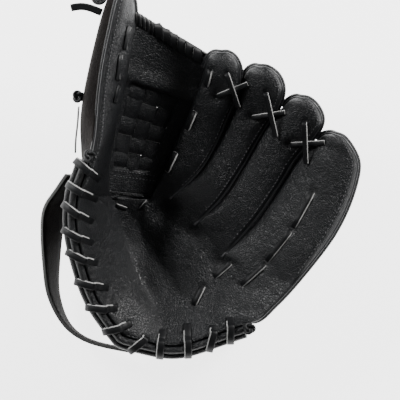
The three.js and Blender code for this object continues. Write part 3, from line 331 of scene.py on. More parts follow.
def place(x: float, y: float, z: float = 0.0) -> Vector:
    """Returns the point in the palm's plan at shares of the glove's width, length and height."""
    return Vector((x * GLOVE_WIDTH, y * GLOVE_LENGTH, z * GLOVE_HEIGHT))


def to_frame(point: Vector) -> Vector:
    """Returns a point of the palm's plan in the CAD's frame, in metres."""
    return (Matrix.Rotation(HAND_AXIS_TURN, 3, "Z") @ point + PLAN_ORIGIN) * MM


def to_plan(point: Vector) -> Vector:
    """Returns a point of the CAD's frame in the palm's plan, in millimetres."""
    return Matrix.Rotation(-HAND_AXIS_TURN, 3, "Z") @ (point / MM - PLAN_ORIGIN)


@dataclass(frozen=True)
class Digit:
    """One digit's front: its two seams, its crown and where it leaves the palm."""

    name: str
    block: int
    sections: tuple

    def seams(self, t: float) -> tuple[Vector, Vector, float]:
        """Returns the left seam, the right seam and the crown's height at t from root to tip."""
        lx, ly, lz, rx, ry, rz, crown, _ = spline_row(self.sections, t)
        return place(lx, ly, lz), place(rx, ry, rz), max(crown, 0.0)

    def outward(self, t: float) -> Vector:
        """Returns the way the digit's front faces at t."""
        left, right, _ = self.seams(t)
        ahead = self.seams(min(t + SLOPE_STEP, 1))
        behind = self.seams(max(t - SLOPE_STEP, 0))
        along = (ahead[0] + ahead[1]) / 2 - (behind[0] + behind[1]) / 2
        return (right - left).cross(along).normalized()


class HandShape:
    """The glove's form: the palm's rails, the digits, the web and the heel edge."""

    heel_corner = 0.52
    thumb_leg = 0.12
    knot_share = 0.2
    heel_step = 0.03
    web_top = 0.8
    web_base = 0.041
    web_gap = 0.8
    web_tuck = 7
    web_sag = 8
    web_base_sag = 0.4

    def __init__(self) -> None:
        """Reads the tables."""
        self.rails = list(PALM_RAILS.values())
        self.digits = {
            name: Digit(name, entry["block"], tuple(map(tuple, entry["sections"])))
            for name, entry in DIGITS.items()
        }

    def palm(self, u: float, v: float) -> Vector:
        """Returns the palm's point at rail u from the thumb side and share v from the heel."""
        row = [spline_row(rail, v) for rail in self.rails]
        return place(*spline_row(row, u / (len(self.rails) - 1)))

    def digit(self, digit: Digit, s: float, t: float) -> Vector:
        """Returns a digit's front point at share s across and t along."""
        left, right, crown = digit.seams(t)
        bow = 1 - abs(2 * clamp(s) ** CROWN_SKEW - 1) ** CROWN_SQUARENESS
        point = left.lerp(right, s) + digit.outward(t) * crown * max(bow, 0.0) ** CROWN_FALL
        root_left, root_right, _ = digit.seams(0)
        root = self.palm(digit.block + s, 1) - root_left.lerp(root_right, s)
        return point + root * (1 - smooth(t / ROOT_FADE))

    def web(self, a: float, b: float) -> Vector:
        """Returns the web panel's point at share a from the thumb and b from the base."""
        t = max(b * self.web_top, self.web_base) if b >= 0 else self.web_base + b * self.web_top
        left = self.digits["thumb"].seams(t)[1] + Vector((self.web_gap, 0, -1))
        right = self.digits["index"].seams(t)[0] + Vector((-self.web_gap, 0, -self.web_tuck))
        point = left.lerp(right, a)
        point.z -= self.web_sag * math.sin(math.pi * a) * lerp(self.web_base_sag, 1, b)
        return point

    def web_normal(self, a: float, b: float) -> Vector:
        """Returns the way the web panel faces."""
        across = self.web(a + SLOPE_STEP, b) - self.web(a - SLOPE_STEP, b)
        ahead = min(b + SLOPE_STEP, 1)
        return across.cross(self.web(a, ahead) - self.web(a, ahead - 2 * SLOPE_STEP)).normalized()

    def heel(self, share: float) -> tuple[Vector, Vector]:
        """Returns the heel edge's point and outward way, from the thumb knot to the heel knot."""

        def at(x: float) -> Vector:
            if x < self.thumb_leg:
                return self.digit(self.digits["thumb"], 0, self.knot_share * (1 - x / self.thumb_leg))
            if x < self.heel_corner:
                return self.palm(0, (self.heel_corner - x) / (self.heel_corner - self.thumb_leg))
            return self.palm((x - self.heel_corner) / (1 - self.heel_corner) * (len(self.rails) - 1), 0)

        along = at(min(share + self.heel_step, 1)) - at(max(share - self.heel_step, 0))
        return at(share), Vector((along.y, -along.x, 0)).normalized()

    def beside(self, share: float, out: float, rise: float) -> Vector:
        """Returns the point that far outside and above the heel edge."""
        point, outward = self.heel(share)
        return point + outward * out + Vector((0, 0, rise))


class Sock:
    """A shader socket that takes part in Python expressions."""

    def __init__(self, graph: "Graph", socket: bpy.types.NodeSocket) -> None:
        """Wraps one output socket of a graph."""
        self.graph = graph
        self.socket = socket

    def _math(self, operation: str, *values) -> "Sock":
        return self.graph.node("ShaderNodeMath", {"operation": operation}, *values)

    def __add__(self, other) -> "Sock":
        return self._math("ADD", self, other)

    def __sub__(self, other) -> "Sock":
        return self._math("SUBTRACT", self, other)

    def __rsub__(self, other) -> "Sock":
        return self._math("SUBTRACT", other, self)

    def __mul__(self, other) -> "Sock":
        return self._math("MULTIPLY", self, other)

    def clamped(self) -> "Sock":
        """Returns the value held between 0 and 1."""
        return self._math("MINIMUM", self._math("MAXIMUM", self, 0.0), 1.0)


class Graph:
    """The node tree of one material."""

    def __init__(self, name: str) -> None:
        """Starts a material with a single Principled shader."""
        self.material = bpy.data.materials.new(name)
        self.material.use_nodes = True
        self.tree = self.material.node_tree
        self.shader = next(n for n in self.tree.nodes if n.type == "BSDF_PRINCIPLED")
        self.place = self.node("ShaderNodeTexCoord", output="Object")

    def node(self, kind: str, settings: dict | None = None, *inputs, output=0, **named) -> Sock:
        """Adds a node.

        Args:
            kind: The node's type.
            settings: Its own settings, made before its inputs.
            inputs: Values or sockets for its inputs, in order.
            output: Which output to return.
            named: Values or sockets for inputs by name, with underscores for spaces.

        Returns:
            The node's output as a socket to go on with.
        """
        made = self.tree.nodes.new(kind)
        for key, value in (settings or {}).items():
            setattr(made, key, value)
        slots = list(enumerate(inputs)) + [(key.replace("_", " "), value) for key, value in named.items()]
        for key, value in slots:
            self.feed(made.inputs[key], value)
        return Sock(self, made.outputs[output])

    def feed(self, target: bpy.types.NodeSocket, value) -> None:
        """Links a socket to an input, or sets the input's own value."""
        if isinstance(value, Sock):
            self.tree.links.new(value.socket, target)
        else:
            target.default_value = value

    def noise(self, scale: float, detail: float = 2.0, roughness: float = 0.5) -> Sock:
        """Returns smooth noise of that many waves a metre."""
        return self.node("ShaderNodeTexNoise", Vector=self.place, Scale=scale, Detail=detail, Roughness=roughness)

    def pebbles(self, scale: float) -> Sock:
        """Returns the distance to the creases between leather pebbles."""
        bent = self.node("ShaderNodeVectorMath", {"operation": "ADD"}, self.place, self.bend(scale))
        return self.node("ShaderNodeTexVoronoi", {"feature": "DISTANCE_TO_EDGE"}, Vector=bent, Scale=scale)

    def bend(self, scale: float) -> Sock:
        """Returns a small wandering offset that keeps the pebbles from looking cut."""
        colour = self.node("ShaderNodeTexNoise", Vector=self.place, Scale=scale * 0.5, output="Color")
        return self.node("ShaderNodeVectorMath", {"operation": "SCALE"}, colour, Scale=0.6 / scale)


@dataclass(frozen=True)
class Leather:
    """Grained, semi-gloss cowhide."""

    name: str
    colour: tuple[float, float, float]
    highlight: tuple[float, float, float]
    roughness: float = 0.44
    gloss: float = 0.42
    cloud_waves: float = 38
    worn_from: float = 0.42
    worn_gain: float = 3.2
    grain_waves: float = 520
    grain_depth: float = 0.0004
    crease_waves: float = 150
    crease_depth: float = 0.0012

    detail = 3
    soft_grain = 0.55
    grain_harshness = 0.6
    crack_gain = 6
    cloud_dulls = 0.16
    crack_dulls = 0.05
    crack_height = 0.55
    grain_height = 0.9
    crease_strength = 0.6

    def material(self) -> bpy.types.Material:
        """Builds the leather's material."""
        graph = Graph(self.name)
        cloud = graph.noise(self.cloud_waves, self.detail)
        worn = ((cloud - self.worn_from) * self.worn_gain).clamped()
        colour = graph.node("ShaderNodeMix", {"data_type": "RGBA"}, worn, output=2)
        mixer = colour.socket.node
        mixer.inputs[6].default_value = (*self.colour, 1)
        mixer.inputs[7].default_value = (*self.highlight, 1)
        graph.feed(graph.shader.inputs["Base Color"], colour)
        grain = graph.noise(self.grain_waves * self.soft_grain, self.detail, self.grain_harshness)
        cracks = (graph.pebbles(self.grain_waves) * self.crack_gain).clamped()
        dull = cloud * self.cloud_dulls + (self.roughness - self.cloud_dulls / 2)
        graph.feed(graph.shader.inputs["Roughness"], dull + (1 - cracks) * self.crack_dulls)
        height = cracks * self.crack_height + grain * self.grain_height
        fine = graph.node("ShaderNodeBump", None, 1.0, self.grain_depth, Height=height)
        creases = graph.noise(self.crease_waves, self.detail)
        bump = (self.crease_strength, self.crease_depth)
        rumple = graph.node("ShaderNodeBump", None, *bump, Height=creases, Normal=fine)
        graph.feed(graph.shader.inputs["Normal"], rumple)
        graph.shader.inputs["Specular IOR Level"].default_value = self.gloss
        return graph.material


@dataclass(frozen=True)
class Plain:
    """An even finish, for lace, raw edges and thread."""

    name: str
    colour: tuple[float, float, float]
    roughness: float = 0.6
    gloss: float = 0.3
    fibre_waves: float = 900
    fibre_depth: float = 0.00012
    fibre_strength: float = 0.5

    def material(self) -> bpy.types.Material:
        """Builds the material."""
        graph = Graph(self.name)
        graph.shader.inputs["Base Color"].default_value = (*self.colour, 1)
        graph.shader.inputs["Roughness"].default_value = self.roughness
        graph.shader.inputs["Specular IOR Level"].default_value = self.gloss
        fibres = graph.noise(self.fibre_waves)
        bump = graph.node("ShaderNodeBump", None, self.fibre_strength, self.fibre_depth, Height=fibres)
        graph.feed(graph.shader.inputs["Normal"], bump)
        return graph.material


class Wardrobe:
    """Every finish on the glove, built once."""

    def __init__(self) -> None:
        """Builds the materials."""
        self.black = Leather("black_leather", (0.0045, 0.005, 0.006), (0.007, 0.0078, 0.009)).material()
        # The brown leather is darker than its own tone: partly the strap's dark leather, partly a painted shade for
        # the shadow the sleeve and glove throw on the strap.
        self.brown = Leather("brown_leather_painted_shade", (0.006, 0.0045, 0.004), (0.011, 0.0083, 0.0073), 0.72, 0.08).material()
        self.lace = Plain("rawhide_lace", (0.0062, 0.0066, 0.0074), 0.5, 0.26).material()
        # Pale raw cut edges of laces and straps; on the index side lace's ends the same finish is a painted
        # highlight.
        self.raw = Plain("raw_cut_edge_and_painted_highlight", (0.36, 0.36, 0.355), 0.75).material()
        # The welt cord is black leather; this finish is lighter than that leather, a painted highlight along the
        # cord.
        self.welt_painted_sheen = Plain("welt_cord_painted_highlight", (0.03, 0.031, 0.033), 0.36, 0.6).material()
        self.strap_edge = Plain("strap_edge", (0.09, 0.09, 0.088), 0.6).material()
        self.thread = Plain("black_thread", (0.11, 0.11, 0.115), 0.55).material()


def finish_object(
    node: str, mesh: bmesh.types.BMesh, materials: Iterable[bpy.types.Material], name: str = ""
) -> bpy.types.Object:
    """Turns a bmesh into a smooth-shaded object that rides on the glove.

    Args:
        node: The CAD node that it stands for, or nothing.
        mesh: Its faces, in the CAD's frame.
        materials: Its materials in slot order.
        name: The object's name, if it isn't the node's.

    Returns:
        The new object.
    """
    name = name or f"{node}_finished"
    bmesh.ops.recalc_face_normals(mesh, faces=mesh.faces)
    data = bpy.data.meshes.new(name)
    mesh.to_mesh(data)
    mesh.free()
    data.polygons.foreach_set("use_smooth", [True] * len(data.polygons))
    for material in materials:
        data.materials.append(material)
    made = bpy.data.objects.new(name, data)
    bpy.context.scene.collection.objects.link(made)
    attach(made, "root")
    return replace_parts(made, node) if node else made


def lay_grid(mesh: bmesh.types.BMesh, steps: tuple[int, int], point: Point) -> None:
    """Adds a grid laid over a surface of the palm's plan, given at shares across and along it."""
    grid = bmesh.ops.create_grid(mesh, x_segments=steps[0], y_segments=steps[1], size=0.5)
    for vert in grid["verts"]:
        vert.co = to_frame(point(vert.co.x + 0.5, vert.co.y + 0.5))


def thicken(made: bpy.types.Object, thickness: float, offset: float) -> None:
    """Gives a sheet of leather its thickness in millimetres, to one side (-1) or to both (0)."""
    skin = made.modifiers.new("leather", "SOLIDIFY")
    skin.thickness = thickness * MM
    skin.offset = offset


def solid_bvh(objects: Iterable[bpy.types.Object]) -> BVHTree:
    """Returns one tree of the faces of several objects, modifiers included."""
    joined = bmesh.new()
    for made in objects:
        joined.from_object(made, bpy.context.evaluated_depsgraph_get())
    tree = BVHTree.FromBMesh(joined)
    joined.free()
    return tree


@dataclass(frozen=True)
class Profile:
    """A closed section swept along a route, in shares of its width and thickness, and which sides are raw cuts."""

    corners: tuple[tuple[float, float], ...]
    raw: tuple[int, ...] = ()


LACE_PROFILE = Profile(
    ((-0.5, -0.35), (-0.5, 0.1), (-0.35, 0.5), (0.38, 0.5), (0.5, 0.15), (0.5, -0.3), (0.36, -0.5), (-0.36, -0.5)),
    (0, 1),
)
STRAP_PROFILE = Profile(
    ((-0.5, -0.3), (-0.5, 0.15), (-0.47, 0.45), (0, 0.62), (0.47, 0.45), (0.5, 0.15), (0.5, -0.3), (0, -0.5)),
    (0, 1),
)
SLAT_PROFILE = Profile(STRAP_PROFILE.corners)
ROUND_PROFILE = Profile(
    tuple((math.cos(math.tau * k / 12) / 2, math.sin(math.tau * k / 12) / 2) for k in range(12, 0, -1))
)


def sweep(
    mesh: bmesh.types.BMesh,
    points: Sequence[Vector],
    sides: Vector | Sequence[Vector],
    width: float | Sequence[float],
    thickness: float = LACE_THICKNESS,
    profile: Profile = LACE_PROFILE,
    painted_highlight_ends: float = 0.0,
    raw_from: float = 0.0,
) -> None:
    """Sweeps a section smoothly along a route.

    Args:
        mesh: Where it goes.
        points: The route in the palm's plan.
        sides: The way the section's width lies, or one for each point.
        width: Its width in millimetres, or one for each point.
        thickness: Its thickness in millimetres.
        profile: The section.
        painted_highlight_ends: The share of its length at each end that takes the second material, a painted
            highlight there.
        raw_from: The share of its length from which its raw sides show.
    """
    sides = [sides] * len(points) if isinstance(sides, Vector) else sides
    widths = width if isinstance(width, list) else [width] * len(points)
    rows = [[*point, *side, wide] for point, side, wide in zip(points, sides, widths)]
    length = sum((b - a).length for a, b in zip(points, points[1:]))
    count = max(int(length / RING_PITCH), 4)
    around = len(profile.corners)
    early = spline_row(rows, FACING_FROM)
    onward = Vector(spline_row(rows, FACING_TO)[:3]) - Vector(early[:3])
    flip = 1 if Vector(early[3:6]).cross(onward).z >= 0 else -1
    grid = bmesh.ops.create_grid(mesh, x_segments=around, y_segments=count, size=0.5)
    for face in {face for vert in grid["verts"] for face in vert.link_faces}:
        middle = face.calc_center_median()
        raw = int((middle.x + 0.5) * around) in profile.raw and middle.y + 0.5 >= raw_from
        # Faces near either end take the second material too: a painted highlight, not a raw cut.
        raw = raw or 0.5 - abs(middle.y) < painted_highlight_ends
        face.material_index = int(raw)
    for vert in grid["verts"]:
        share = vert.co.y + 0.5
        corner = profile.corners[round((vert.co.x + 0.5) * around) % around]
        here = spline_row(rows, share)
        after = spline_row(rows, min(share + 0.5 / count, 1))
        before = spline_row(rows, max(share - 0.5 / count, 0))
        along = (Vector(after[:3]) - Vector(before[:3])).normalized()
        side = Vector(here[3:6])
        side = (side - along * side.dot(along)).normalized()
        offset = side * corner[0] * here[6] + side.cross(along) * flip * corner[1] * thickness
        vert.co = to_frame(Vector(here[:3]) + offset)
    bmesh.ops.remove_doubles(mesh, verts=grid["verts"], dist=JOIN / 2)


def close_ends(mesh: bmesh.types.BMesh) -> None:
    """Closes the open ends of everything swept into a mesh."""
    bmesh.ops.holes_fill(mesh, edges=[edge for edge in mesh.edges if edge.is_boundary], sides=0)


@dataclass
class CadPiece:
    """A finished piece whose form is already right in the CAD: it is rounded and dressed."""

    node: str
    material: bpy.types.Material
    tone: Tone
    levels: int = 2
    sharp: float = math.radians(50)
    crease: float = 0.65
    quad_turn: float = math.radians(40)
    quad_shape: float = math.radians(60)
    edge_material: bpy.types.Material | None = None
    thin: float = 1.8 * MM

    def build(self, nodes: dict) -> bpy.types.Object:
        """Copies the node, turns its triangles into quads and rounds it.

        Args:
            nodes: The frame's CAD nodes.

        Returns:
            The finished object.
        """
        mesh = bmesh.new()
        mesh.from_mesh(nodes[self.node].data)
        bmesh.ops.remove_doubles(mesh, verts=mesh.verts, dist=JOIN)
        bmesh.ops.dissolve_degenerate(mesh, edges=mesh.edges, dist=SLIVER)
        bmesh.ops.join_triangles(
            mesh, faces=mesh.faces, angle_face_threshold=self.quad_turn, angle_shape_threshold=self.quad_shape
        )
        creases = mesh.edges.layers.float.new("crease_edge")
        for edge in mesh.edges:
            if len(edge.link_faces) == 2 and edge.calc_face_angle(0) > self.sharp:
                edge[creases] = self.crease
        if self.edge_material:
            for face in mesh.faces:
                if min(edge.calc_length() for edge in face.edges) < self.thin and len(face.verts) == 4:
                    face.material_index = int(self._is_cut_side(face))
        materials = [self.material] + ([self.edge_material] if self.edge_material else [])
        made = finish_object(self.node, mesh, materials)
        rounding = made.modifiers.new("rounded", "SUBSURF")
        rounding.levels = rounding.render_levels = self.levels
        return made

    def _is_cut_side(self, face: bmesh.types.BMFace) -> bool:
        """Returns whether a face is a strip's narrow side: its rim edges turn sharply both ways."""
        turns = [e for e in face.edges if len(e.link_faces) == 2 and e.calc_face_angle(0) > self.sharp]
        return len(turns) >= 2 and min(e.calc_length() for e in face.edges) < self.thin


@dataclass
class Part:
    """Something that is worked out from the hand's shape and dressed in its finishes."""

    shape: HandShape
    wardrobe: Wardrobe


@dataclass
class Front(Part):
    """The palm, thumb and finger fronts as one padded skin, puckered where laces go through."""

    holes: Sequence[Vector]

    palm_steps = (132, 60)
    digit_steps = (22, 84)
    hem_steps = (150, 3)
    hem = (5.0, -6.0)
    pucker_depth = 1.5
    pucker_radius = 3.2
    pucker_ends = 4
    rumple = 0.22
    rumple_waves = 0.055
    rumple_fractal = (0.8, 2.2, 3)
    fold_steps = 24
    fold_ends = 3

    def build(self) -> bpy.types.Object:
        """Builds the front."""
        mesh = bmesh.new()
        last = len(self.shape.rails) - 1
        lay_grid(mesh, self.palm_steps, lambda a, b: self.shape.palm(a * last, b))
        lay_grid(mesh, self.hem_steps, lambda a, b: self.shape.beside(a, self.hem[0] * b, self.hem[1] * b * b))
        for digit in self.shape.digits.values():
            lay_grid(mesh, self.digit_steps, lambda a, b, d=digit: self.shape.digit(d, a, b))
        bmesh.ops.remove_doubles(mesh, verts=mesh.verts, dist=JOIN)
        bmesh.ops.dissolve_degenerate(mesh, edges=mesh.edges, dist=SLIVER / 10)
        bmesh.ops.recalc_face_normals(mesh, faces=mesh.faces)
        if sum(face.normal.z for face in mesh.faces) < 0:
            bmesh.ops.reverse_faces(mesh, faces=mesh.faces)
        mesh.normal_update()
        for vert in mesh.verts:
            plan = to_plan(vert.co)
            vert.co += vert.normal * self._relief(plan) * MM
            vert.co.z -= self._dent(plan) * MM
        made = finish_object("palm_front", mesh, [self.wardrobe.black])
        thicken(made, FRONT_LEATHER, -1)
        return made

    def _fold(self, plan: Vector) -> float:
        """Returns how deep the palm's folds run at a point."""
        depth = 0.0
        for fold in PALM_FOLDS:
            nearest = min(
                (spline_row(fold, n / self.fold_steps) for n in range(self.fold_steps + 1)),
                key=lambda row: (plan.xy - place(row[0], row[1]).xy).length_squared,
            )
            gone = (plan.xy - place(nearest[0], nearest[1]).xy).length / nearest[3]
            if gone < self.fold_ends:
                depth += nearest[2] * math.exp(-gone * gone)
        return depth

    def _dent(self, plan: Vector) -> float:
        """Returns how deep the front is pressed in at a point."""
        depth = self._fold(plan) if plan.y < FOLD_TOP * GLOVE_LENGTH and plan.x < FOLD_RIGHT * GLOVE_WIDTH else 0.0
        for x, y, deep, radius in DENTS:
            centre = place(x, y)
            depth += deep * math.exp(-((plan.x - centre.x) ** 2 + (plan.y - centre.y) ** 2) / radius**2)
        return depth

    def _relief(self, plan: Vector) -> float:
        """Returns how far the skin stands out at a point, from its soft rumples and lace puckers."""
        out = self.rumple * noise.fractal(plan * self.rumple_waves, *self.rumple_fractal)
        for hole in self.holes:
            gone = math.hypot(plan.x - hole.x, plan.y - hole.y) / self.pucker_radius
            if gone < self.pucker_ends:
                out -= self.pucker_depth * math.exp(-gone * gone)
        return out


@dataclass
class Seat:
    """A place on the leather, and the way it faces there."""

    top: Vector
    normal: Vector


@dataclass
class LaceMaker(Part):
    """Lays flat laces over the leather, with rounded bodies and pale cut edges."""

    ground: BVHTree

    sky = 300
    straight = 0.35

    def seat(self, plan: Vector) -> Seat:
        """Returns the leather's seat straight below a point of the palm's plan."""
        start = to_frame(Vector((plan.x, plan.y, self.sky)))
        hit, normal, _, _ = self.ground.ray_cast(start, -UP)
        if hit is None:
            return Seat(plan.copy(), UP)
        turned = Matrix.Rotation(-HAND_AXIS_TURN, 3, "Z") @ normal
        return Seat(to_plan(hit), turned if turned.z > 0 else -turned)

    def over(self, start: Vector, end: Vector, stand: float = LACE_STAND, steps: int = 6) -> list[Vector]:
        """Returns points from one hole to another that keep a lace on top of the leather."""
        points = []
        for n in range(1, steps):
            level = start.lerp(end, n / steps)
            rest = self.seat(level).top.z + stand
            level.z = max(level.z * self.straight + rest * (1 - self.straight), rest)
            points.append(level)
        return points

    def finish(self, node: str, mesh: bmesh.types.BMesh) -> None:
        """Closes the laces of a mesh and makes the object that stands for the CAD node."""
        close_ends(mesh)
        finish_object(node, mesh, [self.wardrobe.lace, self.wardrobe.raw])


class Welts(Part):
    """The corded seam round each digit, with the back shell's turned edge behind it."""

    before = 4.0
    returning = 0.7
    cord_out = 0.5
    cord_down = 1.5
    cord_size = 2.0
    rim_out = 1.7
    rim_down = 4.6
    rim_size = 4.4
    relaxing = 8
    side_stops = 70
    tip_stops = 12
    palm_stops = 24
    top_centre = 0.9

    def build(self) -> list[bpy.types.Object]:
        """Builds every digit's welt."""
        return [self._welt(digit) for digit in self.shape.digits.values()]

    def _welt(self, digit: Digit) -> bpy.types.Object:
        """Builds one digit's cord and rim."""
        side = 0.0 if digit.name == "thumb" else 1.0
        stops = [(side, n / self.side_stops) for n in range(self.side_stops)]
        stops += [(lerp(side, 1 - side, n / self.tip_stops), 1.0) for n in range(self.tip_stops)]
        stops += [(1 - side, lerp(1, self.returning, n / self.tip_stops)) for n in range(self.tip_stops + 1)]
        edge = [self.shape.digit(digit, s, t) for s, t in stops]
        centres = [self.shape.digit(digit, 0.5, min(t, self.top_centre)) for _, t in stops]
        if digit.name == "pinky":
            last = len(self.shape.rails) - 1
            shares = [n / self.palm_stops for n in range(1, self.palm_stops)]
            edge = [self.shape.palm(last, share) for share in shares] + edge
            centres = [self.shape.palm(last - 1, share) for share in shares] + centres
        else:
            edge.insert(0, edge[0] + (edge[0] - edge[1]).normalized() * self.before)
            centres.insert(0, centres[0])
        mesh = bmesh.new()
        for out, down, size, slot in (
            (self.rim_out, self.rim_down, self.rim_size, 0),
            (self.cord_out, self.cord_down, self.cord_size, 1),
        ):
            points, sides = [], []
            for n, (point, centre) in enumerate(zip(edge, centres)):
                along = edge[min(n + 2, len(edge) - 1)] - edge[max(n - 2, 0)]
                away = Vector((along.y, -along.x, 0)).normalized()
                if away.dot(point - centre) < 0:
                    away.negate()
                points.append(point + away * out - UP * down)
                sides.append(away)
            for _ in range(self.relaxing):
                between = [(a + 2 * b + c) / 4 for a, b, c in zip(points, points[1:], points[2:])]
                points = [points[0], *between, points[-1]]
            # The cord (slot 1) takes the second material over its whole length: the lighter finish that paints its
            # highlight.
            sweep(mesh, points, sides, size, size, ROUND_PROFILE, painted_highlight_ends=slot)
        close_ends(mesh)
        return finish_object(f"{digit.name}_welt", mesh, [self.wardrobe.black, self.wardrobe.welt_painted_sheen])


class HeelRolls(Part):
    """The two padded rolls sewn along the heel edge."""

    offsets = {"heel_roll_front": (5.9, -1), "heel_roll_back": (10.4, -5.2)}
    size = 6.5
    start = 0.02
    end = 0.98
    steps = 60

    def build(self) -> None:
        """Builds both rolls, each so far outside and above the heel edge."""
        shares = [lerp(self.start, self.end, n / self.steps) for n in range(self.steps + 1)]
        sides = [self.shape.heel(share)[1] for share in shares]
        for name, (out, rise) in self.offsets.items():
            points = [self.shape.beside(share, out, rise) for share in shares]
            mesh = bmesh.new()
            sweep(mesh, points, sides, self.size, self.size, ROUND_PROFILE)
            close_ends(mesh)
            finish_object(name, mesh, [self.wardrobe.black])


class WebPanel(Part):
    """The web's leather: an upper and a lower panel and two border strips round a window."""

    left = -0.03
    right = 1.07
    base = -0.1
    leather = 2.4
    lip = 3.0
    lip_reach = 0.045
    lip_centre = 0.6
    across_steps = (6, 34, 10)
    along_steps = (14, 24, 22)

    def build(self) -> None:
        """Builds the panel from eight grids round its window."""
        mesh = bmesh.new()
        across = (self.left, WINDOW_LEFT, WINDOW_RIGHT, self.right)
        along = (self.base, WINDOW_BOTTOM, WINDOW_TOP, 1.0)
        for i, (a0, a1) in enumerate(zip(across, across[1:])):
            for j, (b0, b1) in enumerate(zip(along, along[1:])):
                if (i, j) != (1, 1):
                    steps = (self.across_steps[i], self.along_steps[j])
                    lay_grid(mesh, steps, lambda a, b: self._point(lerp(a0, a1, a), lerp(b0, b1, b)))
        bmesh.ops.remove_doubles(mesh, verts=mesh.verts, dist=JOIN)
        made = finish_object("web_panel", mesh, [self.wardrobe.black])
        thicken(made, self.leather, 0)

    def _point(self, a: float, b: float) -> Vector:
        """Returns the panel's point, with the rolled lip above the window and its edges turned down."""
        lip = math.exp(-(((b - WINDOW_TOP) / self.lip_reach - self.lip_centre) ** 2)) if b >= WINDOW_TOP else 0.0
        return self.shape.web(a, b) + self.shape.web_normal(a, b) * (self.lip * lip - self.leather / 2)


class Weave(Part):
    """The basket in the web's window: cross straps over and under upright slats."""

    rows = 5
    columns = 3
    lift = 0.75
    depth = 1.3
    fill = 0.95
    slat_fill = 1.0
    thickness = 1.2
    overlap = 0.04
    tuck = 0.12
    stops = 30

    def build(self) -> None:
        """Builds every strap and slat."""
        for row in range(self.rows):
            b = lerp(WINDOW_BOTTOM, WINDOW_TOP, (row + 0.5) / self.rows)
            half = self.fill * (WINDOW_TOP - WINDOW_BOTTOM) / self.rows / 2
            self._strip(
                f"cross_strap_{row + 1}",
                lambda t, b=b: (lerp(WINDOW_LEFT - self.overlap, WINDOW_RIGHT + self.overlap, t), b),
                lambda a, b, half=half: (self.shape.web(a, b - half), self.shape.web(a, b + half)),
                lambda t, row=row: self._wave(t, self.columns, row),
                STRAP_PROFILE,
            )
        for column in range(self.columns):
            a = lerp(WINDOW_LEFT, WINDOW_RIGHT, (column + 0.5) / self.columns)
            half = self.slat_fill * (WINDOW_RIGHT - WINDOW_LEFT) / self.columns / 2
            self._strip(
                f"web_slat_{column + 1}",
                lambda t, a=a: (a, lerp(WINDOW_BOTTOM - self.overlap, WINDOW_TOP + self.overlap, t)),
                lambda a, b, half=half: (self.shape.web(a - half, b), self.shape.web(a + half, b)),
                lambda t, column=column: self._wave(t, self.rows, column + 1),
                SLAT_PROFILE,
            )

    def _wave(self, t: float, crossings: int, first: int) -> float:
        """Returns a woven piece's height at a share of its length."""
        place_in = lerp(-self.tuck, crossings + self.tuck, t) * math.pi
        return self.lift * math.sin(place_in) * (1 if first % 2 == 0 else -1)

    def _strip(
        self, name: str, route: Callable, ends: Callable, height: Callable[[float], float], profile: Profile
    ) -> None:
        """Builds one strap or slat.

        Args:
            name: The CAD node that it stands for.
            route: The web shares at a share of its length.
            ends: Its two long edges' points at web shares.
            height: Its lift at a share of its length.
            profile: Its section.
        """
        points, sides, widths = [], [], []
        for n in range(self.stops + 1):
            a, b = route(n / self.stops)
            low, high = ends(a, b)
            normal = self.shape.web_normal(a, b)
            points.append((low + high) / 2 + normal * (height(n / self.stops) - self.depth))
            sides.append(high - low)
            widths.append((high - low).length)
        mesh = bmesh.new()
        sweep(mesh, points, sides, widths, self.thickness, profile)
        close_ends(mesh)
        finish_object(name, mesh, [self.wardrobe.black, self.wardrobe.raw])


class RunningLaces(LaceMaker):
    """Laces sewn through the front, up at one hole and down at the next."""

    sink = 2.2
    # The index side lace's ends take the pale cut-edge finish as a painted highlight on the puckered leather at its
    # holes.
    painted_end_highlight = 0.12
    narrow = 3.2
    reach = 0.4
    rise = 0.2

    def build(self) -> None:
        """Builds every running lace."""
        for name, holes in RUNNING_LACES.items():
            mesh = bmesh.new()
            for first, second in zip(holes[::2], holes[1::2]):
                start, end = (self.seat(place(*hole)) for hole in (first, second))
                a, b = start.top, end.top
                run = (b - a).normalized()
                down = (start.normal + end.normal).normalized() * self.sink
                points = [a - down - run * self.reach, a + start.normal * self.rise, *self.over(a, b)]
                points += [b + end.normal * self.rise, b - down + run * self.reach]
                side = run.cross((start.normal + end.normal).normalized()).normalized()
                painted_highlight_ends = self.painted_end_highlight if name == "index_side_lace" else 0.0
                width = self.narrow if name == "web_base_lace" else LACE_WIDTH
                sweep(mesh, points, side, width, painted_highlight_ends=painted_highlight_ends)
            self.finish(name, mesh)


class FingerTies(LaceMaker):
    """The crossed ties over the grooves between the fingers."""

    sink = 2.0
    cross_width = 4.4
    tail_width = 4.6
    tail_lift = LACE_THICKNESS * 1.3
    first = 0.04
    shares = (0.2, 0.35, 0.5, 0.65, 0.8, 0.92)

    def build(self) -> None:
        """Builds each finger's cross tie and tail."""
        for name, tie in FINGER_TIES.items():
            self._tie(f"{name}_cross", tie["cross"], 0.0, self.cross_width)
            self._tie(f"{name}_tail", tie["tail"], self.tail_lift, self.tail_width)

    def _tie(self, name: str, ends: Sequence[Sequence[float]], lift: float, width: float) -> None:
        """Builds one tie from its hole to its free end."""
        start, end = (self.seat(place(*point)) for point in ends)
        a = start.top + UP * (LACE_STAND + lift)
        b = end.top + UP * (LACE_STAND + lift)
        points = [start.top - UP * self.sink, a.lerp(b, self.first)]
        for share in self.shares:
            level = a.lerp(b, share)
            level.z = max(level.z, self.seat(level).top.z + LACE_STAND + lift)
            points.append(level)
        points.append(b)
        side = (b - a).cross(UP).normalized()
        mesh = bmesh.new()
        sweep(mesh, points, side, width)
        self.finish(name, mesh)


